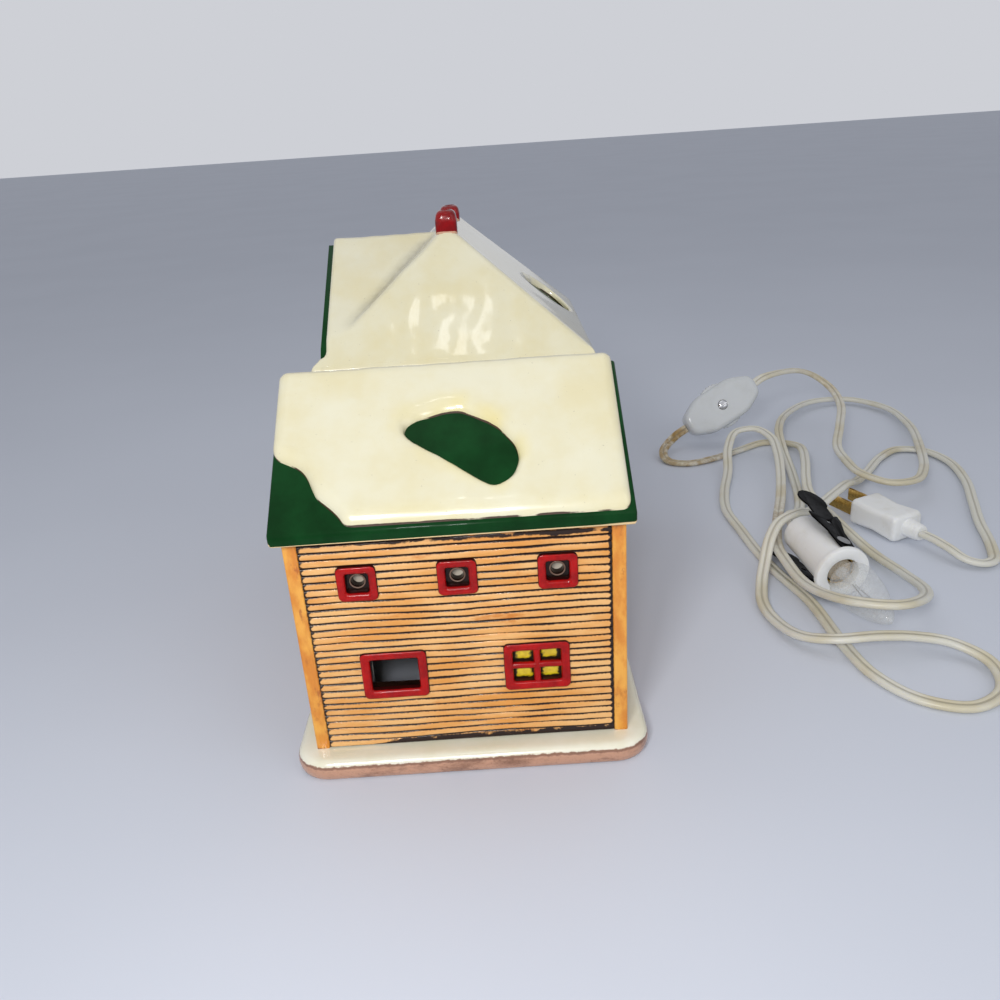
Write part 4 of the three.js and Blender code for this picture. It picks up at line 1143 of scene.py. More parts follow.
@dataclass
class Siding:
    """One wall of hand-scored boards, with the dark wash in its grooves."""

    node: str
    wall: str
    house: House
    roofs: Roofs
    openings: list[Opening]
    round_hole: Optional[tuple[float, float, float]] = None
    pitch: float = 2.53
    lap: float = 0.6
    groove: float = 0.42
    column: float = 1.3
    overlap: float = 1.2
    reveal: float = 3.0

    def __post_init__(self) -> None:
        """Finds the wall's axes and box."""
        self.axes = self.house.walls[self.wall]
        self.low, self.high = box(self.node)
        self.bottom = float(self.low[2]) - self.house.base_top

    def rows_at(self, u: np.ndarray, row: int) -> np.ndarray:
        """The height of a board's lower edge along the wall, which wanders as scored by hand.

        Args:
            u: Stations along the wall.
            row: The board's number from the base.

        Returns:
            The heights.
        """
        if row <= 0:
            return np.zeros(len(u))
        seed = 7.3 * sum(map(ord, self.wall)) % 97
        slow = wobble_field(u / 38, [row * 0.23], seed)[0]
        quick = wobble_field(u / 7, [row * 3.1], seed + 5)[0]
        return row * self.pitch + 0.75 * slow + 0.16 * quick

    def build(self) -> None:
        """Builds the wall."""
        ends = sorted(self.axes.across(corner)[0] for corner in (self.low, self.high))
        u = np.linspace(ends[0], ends[1], int((ends[1] - ends[0]) / self.column) + 1)
        top = self._tops(u, 0.0)
        rows = int(math.ceil(float(top.max()) / self.pitch)) + 1
        board = [(0.0, -self.lap - self.groove), (0.08, -self.lap * 0.7 - self.groove * 0.5),
                 (0.17, -0.1), (0.3, 0.0), (0.55, -0.16), (0.82, -self.lap + 0.2), (0.94, -self.lap)]
        lines, away = [], []
        for row in range(rows):
            edge, following = self.rows_at(u, row), self.rows_at(u, row + 1)
            for share, _ in board:
                lines.append(edge + (following - edge) * share)
                away.append(np.minimum(lines[-1] - edge, following - lines[-1]))
        v = np.array(lines)
        w = np.broadcast_to(np.array([depth for _, depth in board] * rows)[:, None], v.shape)
        wash = self._ink(u, v, np.array(away), top, ends)
        uu = np.broadcast_to(u, v.shape)
        beyond = v >= top
        v = np.clip(v, self.bottom, top)
        keep = self._solid(uu, v, self.openings, self.overlap, 0.5)
        keep &= ~(beyond[:-1, :-1] & beyond[:-1, 1:])
        keep &= v[1:, :-1] + v[1:, 1:] > 2 * self.bottom + 1e-6
        skin = Skin()
        skin.grid(self.axes.point(uu, v, w), keep=keep, wash=wash)
        self._back(skin, u)
        if self.round_hole:
            self._lip(skin)
        skin.build(self.node + "_boards", ["siding", "inside"], Slot.SIDING, [self.node], crease=80)

    def _solid(self, uu: np.ndarray, v: np.ndarray, openings: Sequence[Opening], margin: float,
               lip: float) -> np.ndarray:
        """Which cells of a grid on the wall lie clear of its openings.

        Args:
            uu: The grid's stations along the wall.
            v: The grid's heights.
            openings: The openings that are cut.
            margin: How far the wall reaches under an opening's frame.
            lip: How far it keeps from the round hole.

        Returns:
            One truth value per cell.
        """
        middle_u, middle_v = ((part[:-1, :-1] + part[1:, 1:]) / 2 for part in (uu, v))
        keep = np.ones(middle_u.shape, bool)
        for hole in openings:
            keep &= ~((np.abs(middle_u - hole.u) < hole.width / 2 - margin) & (
                np.abs(middle_v - hole.v) < hole.height / 2 - margin))
        if self.round_hole:
            hu, hv, radius = self.round_hole
            keep &= np.hypot(middle_u - hu, middle_v - hv) > radius + lip
        return keep

    def _tops(self, u: np.ndarray, w: float) -> np.ndarray:
        """Finds where the roof trims the wall.

        Args:
            u: Stations along the wall.
            w: How far out from the wall's face they lie.

        Returns:
            The wall's height at each station.
        """
        tops = []
        for station in u:
            inner = np.clip(self.axes.point(station, 0.0, w - 0.05), self.low + 0.02, self.high - 0.02)
            found = self.roofs.underside(inner[0], inner[1], float(self.low[2]) + 2.0)
            tops.append((float(self.high[2]) if found is None else found) - self.axes.origin[2] + 0.1)
        return np.array(tops)

    def _ink(self, u: np.ndarray, v: np.ndarray, away: np.ndarray, top: np.ndarray,
             ends: Sequence[float]) -> np.ndarray:
        """The dark wash: in the grooves, under the eave, along the base and at the ends.

        Args:
            u: Stations along the wall.
            v: Heights of the grid's points.
            away: How far each point is from its nearest groove.
            top: Where the roof trims each station.
            ends: The wall's two ends.

        Returns:
            The wash, which is above 0.5 where it shows.
        """
        along = (u - ends[0]) / (ends[1] - ends[0])
        seed = float(sum(map(ord, self.wall)) % 89)
        heights = v[:, 0]
        uneven = wobble_field(u / 16, heights / 1.9, seed)
        worn = wobble_field(u / 24, heights / 9, seed + 31)
        ragged = wobble_field(u / 3.5, heights / 1.1, 77.0)
        broad = wobble_field(u / 13, [3.0], seed)[0]
        groove = (0.45 + 0.25 * uneven - 0.7 * np.clip(worn - 0.2, 0, 1) - away) / 0.55
        rise, under = v - self.bottom, top - v
        reach = 2.6 * np.clip((along - 0.06) / 0.22, 0, 1)
        foot = np.minimum((reach - 0.5 + 0.7 * broad + 1.2 * ragged - rise) / 0.7,
                          (rise - 0.25 - 0.3 * ragged) / 0.3)
        band = 5.5 + 0.9 * along
        eave = (0.7 + 0.6 * broad + 0.9 * ragged - np.abs(under - band)) / 0.6
        right = (0.75 + 0.5 * ragged - (ends[1] - u)) / 0.5
        left = (0.3 + 0.25 * ragged - (u - ends[0])) / 0.5
        plain = np.clip((under - band + 0.4) / 0.3, 0, 1)
        held = np.maximum.reduce([groove * plain - (1 - plain), eave, foot, right, left])
        return 0.5 + np.clip(held, -3, 3)

    def _back(self, skin: Skin, u: np.ndarray) -> None:
        """Adds the plain inner face and the wall's edges.

        Args:
            skin: The skin to add to.
            u: Stations along the wall.
        """
        fine = self.round_hole is not None
        edges = [np.array([o.u - o.width / 2 + self.reveal, o.u + o.width / 2 - self.reveal])
                 for o in self.openings]
        columns = np.unique(np.concatenate([u[::1 if fine else 6], u[-1:], *edges]))
        outer, inner = self._tops(columns, 0.0), self._tops(columns, -self.house.wall + 0.1)
        v = self.bottom + (inner - self.bottom) * np.linspace(0, 1, 81 if fine else 25)[:, None]
        uu = np.broadcast_to(columns, v.shape)
        through = [hole for hole in self.openings if hole.node == "near_open_frame"]
        skin.grid(self.axes.point(uu, v, -self.house.wall), finish=1, flip=True,
                  keep=self._solid(uu, v, through, self.reveal, 0.0))
        foot = np.full(len(columns), self.bottom)
        for front, back, flip in ((foot, foot, False), (outer, inner, True)):
            skin.grid(self._strip(columns, front, back), finish=1, flip=flip)
        rise = np.linspace(0, 1, 12)
        for end, flip in ((0, True), (-1, False)):
            front, back = (self.bottom + (tops[end] - self.bottom) * rise for tops in (outer, inner))
            skin.grid(self._strip(columns[end], front, back), flip=flip)

    def _strip(self, u: object, front: np.ndarray, back: np.ndarray) -> np.ndarray:
        """Two rows of points, from the boards' lap to the inner face."""
        return np.stack([self.axes.point(u, front, -self.lap), self.axes.point(u, back, -self.house.wall)])

    def _lip(self, skin: Skin) -> None:
        """Adds the round hole's soft lip and the tube through the wall.

        Args:
            skin: The skin to add to.
        """
        hu, hv, radius = self.round_hole
        wall = self.house.wall
        profile = [(1.9, -self.lap), (1.5, 0.25), (0.8, 0.5), (0.2, 0.3), (0.0, -0.4), (0.0, -wall),
                   (2.2, -wall - 0.02)]
        rings = [(circle(radius + more, 72, (hu, hv)), w) for more, w in profile]
        skin.loft([self.axes.point(ring[:, 0], ring[:, 1], w) for ring, w in rings], 1, (False, False))


@dataclass
class WindowKit:
    """The red frames and what fills them: a lamp hole, panes or nothing."""

    wall: float
    border_attic: float = 2.7
    border_low: float = 3.0
    depth: float = 1.6
    rebate: float = 1.0
    muntin: float = 2.3
    lamp_hole: float = 3.8

    def ring(self, opening: Opening, border: float, skin: Skin) -> None:
        """Adds a frame's soft-edged ring.

        Args:
            opening: The window.
            border: The ring's width.
            skin: The skin to add to.
        """
        profile = [(0.0, -self.depth, 1.1), (0.0, 0.35, 0.95), (0.15, 0.72, 0.45), (0.5, 0.94, 0.1),
                   (1.0, 1.0, 0.0), (border - 1.0, 0.92, 0.0), (border - 0.45, 0.66, 0.1),
                   (border - 0.12, 0.2, 0.35), (border, -0.5, 0.9), (border + 0.05, -self.depth, 1.0)]
        loops = [opening.ring(distance, 1.7 - distance * 0.32, w) for distance, w, _ in profile]
        skin.loft(loops, 0, (False, False), wash=[wash for *_, wash in profile])

    def recess(self, opening: Opening, border: float, skin: Skin) -> None:
        """Adds the dark plate behind an attic frame, with its round lamp hole.

        Args:
            opening: The window.
            border: The ring's width.
            skin: The skin to add to.
        """
        depth = self.depth
        loops = [opening.ring(border - 0.3, 1.0, w) for w in (-0.9, -depth)]
        rim = [(0.72, -depth, 0.0), (0.6, -depth + 0.3, 0.9), (0.35, -depth + 0.36, 0.95),
               (0.1, -depth + 0.1, 0.2), (0.0, -depth - 0.3, 0.0), (0.0, -self.wall, 0.3)]
        for more, w, _ in rim:
            loop = circle(self.lamp_hole / 2 + more, len(loops[0]), start=-math.pi / 4)
            loops.append(opening.point(loop[:, 0], loop[:, 1], w))
        skin.loft(loops, 1, (False, False), wash=[0.0, 0.0] + [wash for *_, wash in rim])

    def reveal(self, opening: Opening, border: float, skin: Skin) -> None:
        """Adds the sides of the open window through the wall, in the dark recess finish as painted shade."""
        loops = [opening.ring(border - 0.05, 0.9, w) for w in (-0.4, -self.depth, -3.0, -self.wall)]
        skin.loft(loops, 1, (False, False))

    def bars(self, opening: Opening, border: float, skin: Skin) -> None:
        """Adds the soft cross bars of a paned window.

        Args:
            opening: The window.
            border: The ring's width.
            skin: The skin to add to.
        """
        half = self.muntin / 2
        across = np.array([-1, -0.95, -0.55, 0, 0.55, 0.95, 1]) * half
        lifts = np.array([-self.depth, -0.1, 0.42, 0.56, 0.42, -0.1, -self.depth])
        for upright in (True, False):
            reach = (opening.height if upright else opening.width) / 2 - border + 0.8
            rows = []
            for s in np.linspace(-reach, reach, 12):
                lift = -0.12 * abs(wobble(s / 3, opening.u, 4.0))
                side = 0.12 * wobble(s / 5, opening.u, 9.0)
                places = (side + across, s) if upright else (s, side + across)
                rows.append(opening.point(*places, lifts + lift))
            wash = np.broadcast_to([0.9, 0.3, 0.0, 0.0, 0.0, 0.3, 0.9], (12, 7))
            skin.grid(np.array(rows), flip=not upright, wash=wash)

    def panes(self, opening: Opening, border: float, name: str) -> None:
        """Builds the plate of four pillowed panes.

        Args:
            opening: The window.
            border: The frame's border.
            name: The node that the plate stands for.
        """
        half = np.array([opening.width, opening.height]) / 2 - border
        light = (half - self.muntin / 2) / 2
        u, v = (np.linspace(-reach, reach, 61) for reach in half + self.rebate)
        uu, vv = np.meshgrid(u, v)
        across = (np.abs(uu) - self.muntin / 2 - light[0]) / light[0]
        up = (np.abs(vv) - self.muntin / 2 - light[1]) / light[1]
        bulge = np.clip(1 - across ** 4, 0, 1) * np.clip(1 - up ** 4, 0, 1)
        edge = np.maximum(np.abs(across), np.abs(up))
        ragged = wobble_field(u / 1.3 + opening.u, v / 1.3, 8.0)
        wash = np.clip((edge - 0.5) * 2.4 + ragged * 0.7 + 0.18 * across - 0.1 * up, 0, 1)
        skin = Skin()
        skin.grid(opening.point(uu, vv, -self.depth - 0.5 + 0.5 * bulge), wash=wash)
        skin.build(name + "_lights", ["pane"], Slot.PANE, [name])

    def build(self, opening: Opening) -> None:
        """Builds one window.

        Args:
            opening: The window.
        """
        skin = Skin()
        attic = "attic" in opening.node
        border = self.border_attic if attic else self.border_low
        self.ring(opening, border, skin)
        if attic:
            self.recess(opening, border, skin)
        elif "paned" in opening.node:
            self.bars(opening, border, skin)
            self.panes(opening, border, opening.node.replace("paned_frame", "panes"))
        elif "open" in opening.node:
            self.reveal(opening, border, skin)
        skin.ripple(4.0, 0.1, seed=opening.u)
        skin.build(opening.node + "_cast", ["red", "recess"], Slot.FRAME, [opening.node], crease=60)


@dataclass
class Door:
    """The front door: its leaf with sunk panels, its knob and its step."""

    border: float = 2.4
    rebate: float = 1.0
    depth: float = 1.6
    stile: float = 2.0
    sink: float = 0.5

    def leaf(self, opening: Opening) -> None:
        """Builds the leaf with its four sunk panels.

        Args:
            opening: The door.
        """
        width, height = (size - 2 * self.border + 2 * self.rebate for size in (opening.width, opening.height))
        uu, vv = np.meshgrid(np.linspace(-width / 2, width / 2, 60),
                             np.linspace(-height / 2, height / 2, 100))
        gaps = []
        for places, size in ((uu, width), (vv, height)):
            panel = (size - 3 * self.stile) / 2
            gaps.append(np.abs(np.abs(places) - (panel + self.stile) / 2) - panel / 2)
        outside = np.maximum(*gaps)
        w = -self.depth - self.sink * np.clip(-outside / 0.5, 0, 1)
        wash = np.clip(1 - np.abs(outside + 0.3) / 0.45, 0, 1) * 0.9
        skin = Skin()
        skin.grid(opening.point(uu, vv, w), wash=wash)
        skin.build("door_leaf_cast", ["roof"], Slot.ROOF, ["door_leaf"])

    def knob(self) -> None:
        """Builds the knob."""
        low, high = box("door_knob")
        radius, reach = (high[2] - low[2]) / 2, high[0] - low[0]
        skin = Skin()
        skin.turned([(radius * r, reach * z) for r, z in (
            (0.6, 0.0), (0.6, 0.2), (0.85, 0.35), (1.0, 0.52), (0.92, 0.75), (0.55, 0.95), (0.0, 1.0))], 28)
        _, y, z = (low + high) / 2
        skin.move(Matrix.Translation((high[0], y, z)) @ Matrix.Rotation(math.radians(-90), 4, "Y"))
        skin.build("door_knob_cast", ["knob"], Slot.KNOB, ["door_knob"])

    def step(self) -> None:
        """Builds the step."""
        low, high = box("door_step")
        size, middle = high - low, (low + high) / 2
        levels = [(0, low[2]), (0, high[2] - 1.2), (0.25, high[2] - 0.5), (0.8, high[2] - 0.1),
                  (1.4, high[2])]
        skin = Skin()
        skin.loft([at_level(rounded_rect(size[0] - 2 * distance, size[1] - 2 * distance, 1.8) + middle[:2], z)
                   for distance, z in levels], wash=[0.75, 0.1, 0.0, 0.0, 0.0])
        skin.ripple(6.0, 0.15)
        skin.build("door_step_cast", ["snow"], Slot.SNOW, ["door_step"])

    def build(self, opening: Opening) -> None:
        """Builds the leaf, the knob and the step.

        Args:
            opening: The door.
        """
        self.leaf(opening)
        self.knob()
        self.step()


@dataclass
class CornerBoards:
    """The four smooth boards at the corners of the house."""

    rounding: float = 0.6

    def build(self, node: str, roofs: Roofs) -> None:
        """Builds one board.

        Args:
            node: The board's node.
            roofs: The roof slabs that trim it.
        """
        low, high = box(node)
        size, middle = high - low, (low + high) / 2
        loop = rounded_rect(size[0], size[1], self.rounding, 3, 4)
        levels = np.linspace(low[2], high[2], 60)
        loops = []
        for z in levels:
            ring = at_level(loop * (1 + 0.012 * wobble(z / 12, middle[0], middle[1])) + middle[:2], z)
            for point in ring:
                limit = roofs.underside(*np.clip(point[:2], low[:2] + 0.05, high[:2] - 0.05), low[2] + 5)
                if limit is not None:
                    point[2] = min(point[2], limit + 0.1)
            loops.append(ring)
        skin = Skin()
        skin.loft(loops, wash=0.45 * np.maximum(0.0, 1 - (levels - low[2]) / 3))
        skin.build(node + "_glazed", ["trim"], Slot.TRIM, [node], crease=60)


@dataclass
class BaseSlab:
    """The base: a soft bullnose round a flat top, with the large opening under the house."""

    corner: float = 12.0
    ledge: float = 6.0

    def build(self, house: House) -> None:
        """Builds the slab.

        Args:
            house: The house's levels.
        """
        low, high = box("base_slab")
        size, middle = (high - low)[:2], ((low + high) / 2)[:2]
        top = float(high[2])
        edge = house.wall + self.ledge
        hole_size = 2 * (house.half_width - edge), house.far_face - house.near_face - 2 * edge
        hole_middle = np.array([0.0, (house.near_face + house.far_face) / 2])
        profile = [(2.6, 0.0), (1.4, 0.12), (0.6, 0.7), (0.15, 1.7), (0.0, 3.0), (0.05, 4.3), (0.35, 5.5),
                   (0.95, 6.5), (1.8, 7.15), (2.8, 7.42), (4.0, top)]
        loops = [at_level(rounded_rect(size[0] - 2 * distance, size[1] - 2 * distance, self.corner - distance,
                                       14, 60) + middle, z) for distance, z in profile]
        hole = rounded_rect(*hole_size, self.corner, 14, 60) + hole_middle
        loops += [at_level(hole, top), at_level(hole, 0.0), loops[0]]
        skin = Skin()
        skin.loft(loops, 0, (False, False), side=[1.0] * (len(profile) - 1) + [0.0] * 3 + [1.0], wash=0.0)
        for part in skin.points:
            share = np.clip((part[:, 2] - 1.0) / 4.0, 0, 1) * np.clip((top + 0.01 - part[:, 2]) / 0.6, 0, 1)
            part[:, 2] += 0.25 * share * [noise.noise_vector(Vector((x, y, 0)) / 26)[2] for x, y, _ in part]
        skin.build("base_slab_glazed", ["slab"], Slot.SNOW, ["base_slab"], crease=60)


@dataclass
class Snow:
    """A thick cap of glazed snow on a roof, with a rounded rim and low swells."""

    node: str
    rim: Loop
    holes: list[Loop]
    roofs: Roofs
    thickness: float = 3.1
    rounding: float = 2.0
    swell: float = 0.5
    soften: float = 1.2
    cell: float = 1.7
    band: tuple[float, ...] = (0.0, 0.012, 0.035, 0.08, 0.16, 0.3, 0.5)
    rings: tuple[float, ...] = (0.9, 1.5, 2.5, 3.8)
    stains: bool = False
    plain_below: float = -999.0
    plain_at: float = 10.0
    plain_from: float = -0.6
    skirt: float = 4.6

    def ragged(self, loop: Loop, depth: float = 0.35) -> Loop:
        """A hole's rim that wanders a little, as cut by hand."""
        return loop + depth * np.array([[wobble(x / 5, y / 5, seed) for seed in (3.0, 9.0)] for x, y in loop])

    def build(self) -> None:
        """Builds the cap."""
        loops = [counter_clockwise(loop) for loop in (self.rim, *map(self.ragged, self.holes))]
        ways = [1] + [-1] * len(self.holes)
        bands = [[inset(loop, way * distance) for distance in self.band] for loop, way in zip(loops, ways)]
        core = [band[-1] for band in bands]
        rings = np.vstack([inset(resample(loop, 1.2), way * distance)
                           for distance in self.rings for loop, way in zip(loops, ways)])
        low, high = loops[0].min(0), loops[0].max(0)
        inner = np.array([(x, y) for j, y in enumerate(np.arange(low[1], high[1], self.cell * 0.87))
                          for x in np.arange(low[0] + (j % 2) * self.cell / 2, high[0], self.cell)])
        rings = rings[self._within(rings, core)]
        rings = rings[distance_to(rings, core) > 0.12]
        inner = inner[self._within(inner, core)]
        inner = inner[distance_to(inner, loops) > self.rings[-1] + 0.6]
        edges, start = [], 0
        for loop in core:
            edges += [(start + k, start + (k + 1) % len(loop)) for k in range(len(loop))]
            start += len(loop)
        made = delaunay_2d_cdt([Vector(p) for p in np.vstack([*core, rings, inner])], edges, [], 0, 1e-4)
        points = np.array([tuple(p) for p in made[0]])
        corners = points[np.array(made[2])]
        kept = self._within(corners.mean(1), core)
        a, b = np.swapaxes(corners[:, 1:] - corners[:, :1], 0, 1)
        upward = a[:, 0] * b[:, 1] - a[:, 1] * b[:, 0] > 0
        skin = Skin()
        placed, layers = self._surface(points, loops)
        faces = [face if up else face[::-1] for face, up, good in zip(made[2], upward, kept) if good]
        skin.add(placed, faces, **layers)
        for band, way in zip(bands, ways):
            placed, layers = self._surface(np.vstack(band), loops)
            skin.grid(placed.reshape(len(band), -1, 3), wrap=True, flip=way < 0, **layers)
        skin.build(self.node + "_cap", ["snow"], Slot.SNOW, [self.node], crease=75)

    def _surface(self, points: np.ndarray, loops: Sequence[Loop]) -> tuple[np.ndarray, dict[str, np.ndarray]]:
        """Lifts places in plan onto the snow's surface.

        Args:
            points: The places.
            loops: The rim and the holes.

        Returns:
            The points in 3-D, and the layers of colour at them.
        """
        reach = distance_to(points, loops)
        rise = np.sqrt(np.clip(1 - (1 - np.clip(reach / self.rounding, 0, 1)) ** 2, 0, 1))
        top = self.roofs.top
        z = np.empty(len(points))
        for index, (x, y) in enumerate(points):
            ground = self._ground(x, y, min(self.soften, 0.3 + reach[index]))
            beside = [top(x - 1, y), top(x + 1, y), top(x, y - 1), top(x, y + 1)]
            fall = 0.0 if None in beside else max(beside[0] - beside[1], beside[2] - beside[3])
            swell = self.swell * (0.8 * wobble(x / 14, y / 14, 1.0) + 0.5 * wobble(x / 6.5, y / 6.5, 6.0))
            swell *= 1 - 0.85 * min(max(fall, 0.0), 1.0)
            z[index] = ground + max(self.thickness * rise[index] + swell * min(1.0, reach[index] / 5), -0.1)
        shade = np.array([wobble(x / 9, y / 9, 44.0) for x, y in points])
        fine = np.array([wobble(x / 5, y / 5, 12.0) for x, y in points])
        tinge = np.zeros(len(points))
        if self.stains:
            tinge = np.clip(1.1 - distance_to(points, loops[1:]) / 5.0, 0, 1) * np.clip(
                0.5 + 1.6 * shade + 0.5 * fine, 0, 1)
        # The rim's riser is darker, in patches.
        worn = np.clip(0.75 + 0.9 * shade + 0.5 * fine, 0, 1)
        wash = np.clip(1.7 - self.thickness * rise / 0.55, 0, 1) * worn
        # Painted shade: the crease layer is how deep a place lies in a valley, and darkens the snow there.
        crease = np.array([self._hollow(x, y) for x, y in points])
        return np.column_stack([points, z]), {"wash": wash, "crease": crease, "tinge": tinge}

    def _ground(self, x: float, y: float, softness: float) -> float:
        """The softened roof below a place, which is one plain slope over the low hip.

        Args:
            x: Across, in millimetres.
            y: Along, in millimetres.
            softness: How far around the place the roof is averaged.

        Returns:
            The height.
        """
        if y >= self.plain_below:
            return self.roofs.soft_top(x, y, softness)
        low, high = (self.roofs.top(self.plain_at, self.plain_below - back) for back in (4, 0))
        slope = high + (y - self.plain_below) * (high - low) / 4
        skirt = max(0.0, 1 - (y - float(self.rim[:, 1].min())) / 0.6)
        found = self.roofs.soft_top(x, max(y, self.plain_from), softness)
        return min(slope, found) - self.skirt * skirt ** 2

    def _hollow(self, x: float, y: float, reach: float = 6.0) -> float:
        """How far a place lies in a valley between two slopes.

        Args:
            x: Across, in millimetres.
            y: Along, in millimetres.
            reach: How far away the slopes are measured.

        Returns:
            The share, from 0 on a plain slope to 1.
        """
        pairs = [((x + reach, y), (x - reach, y)), ((x, y + reach), (x, y - reach))]
        whole = [pair for pair in pairs if None not in [self.roofs.top(*place) for place in pair]]
        if not whole:
            return 0.0
        mean = sum(self._ground(*place, 0.3) for pair in whole for place in pair) / (2 * len(whole))
        return float(np.clip((mean - self._ground(x, y, 0.3)) / 3.4, 0, 1))

    @staticmethod
    def _within(points: np.ndarray, loops: Sequence[Loop]) -> np.ndarray:
        """Which points lie inside the rim and outside the holes.

        Args:
            points: The points to test.
            loops: The rim and the holes.

        Returns:
            One truth value per point.
        """
        kept = inside(points, loops[0])
        for hole in loops[1:]:
            kept &= ~inside(points, hole)
        return kept


@dataclass
class RoofSlab:
    """A glossy green slab with softened edges and a pale line along its lower edge."""

    node: str
    slab: float = 4.2
    rounding: float = 1.0

    def build(self, roofs: Roofs) -> None:
        """Builds the slab.

        Args:
            roofs: The slabs' surfaces.
        """
        piece = softened(self.node, self.node + "_glazed", "roof", Slot.ROOF, self.rounding, 4, crease=50)
        values = []
        for vertex in piece.data.vertices:
            x, y, z = vertex.co / MM
            top = roofs.top(x * 0.995, y)
            values.append(0.0 if top is None else np.clip((top - z) / self.slab, 0, 1))
        lip = piece.data.attributes.new("lip", "FLOAT", "POINT")
        lip.data.foreach_set("value", np.array(values, np.float32))


@dataclass
class Chimney:
    """A small glossy stack with a rounded crown and a shallow flue."""

    node: str
    rounding: float = 2.4
    flue: float = 1.8
    crown: tuple[Point, ...] = ((0.05, 3.2), (0.25, 1.7), (0.75, 0.75), (1.5, 0.2), (2.1, 0.02))

    def build(self, roofs: Roofs, snow: float) -> None:
        """Builds the stack.

        Args:
            roofs: The roof slabs below it.
            snow: The snow's thickness, where a pale line runs round the stack.
        """
        low, high = box(self.node)
        size, middle = (high - low)[:2], ((low + high) / 2)[:2]
        top = float(high[2])
        levels = [(0.0, z) for z in np.arange(low[2], top - 3.4, 0.4)]
        levels += [(distance, top - below) for distance, below in self.crown]
        loops, washes = [], []
        for distance, z in levels:
            loop = rounded_rect(size[0] - 2 * distance, size[1] - 2 * distance, self.rounding) + middle
            loops.append(at_level(loop, z))
            rims = np.array([roofs.soft_top(x, y, 1.0) + snow + 0.25 for x, y in loop])
            washes.append(np.clip(1.15 - np.abs(z - rims) / 0.55, 0, 1))
        count = len(loops[0])
        for radius, below in ((self.flue + 0.25, 0.15), (self.flue, 0.6), (self.flue * 0.9, 2.6), (0.0, 2.6)):
            loops.append(at_level(circle(radius, count, middle, -math.pi / 4), top - below))
            washes.append(np.zeros(count))
        skin = Skin()
        skin.grid(np.array(loops), wrap=True, wash=np.array(washes))
        skin.loft([loops[0], loops[0]], close=(True, False))
        skin.ripple(6.0, 0.25, seed=float(middle[1]))
        skin.build(self.node + "_glazed", ["chimney"], Slot.CHIMNEY, [self.node])


# The outlines of the bare places, in millimetres
BARE_PATCH = [
    (-14, 28), (-10.5, 31), (-3, 32), (3, 33), (8.6, 30.5), (15.3, 27), (19.7, 22.5), (21.6, 18),
    (20.2, 13), (17, 10), (13.5, 9), (9.5, 10.5), (3.9, 14.6), (-2.7, 18.6), (-8.8, 21.7), (-13.1, 25),
]
BARE_CORNER = [
    (0, 22), (4.4, 19.8), (8, 18), (10.3, 15.5), (12.3, 11.8), (13.7, 9.2), (17.6, 6.2), (20.4, 3.8),
    (22.6, 1),
]
BARE_SLOT = [
    (25, 10.5), (23, 3.5), (17, 1.5), (10, 4.5), (6, 10.5), (6, 20.5), (9, 29.5), (14, 32.5),
    (20, 28.5), (24, 20.5),
]


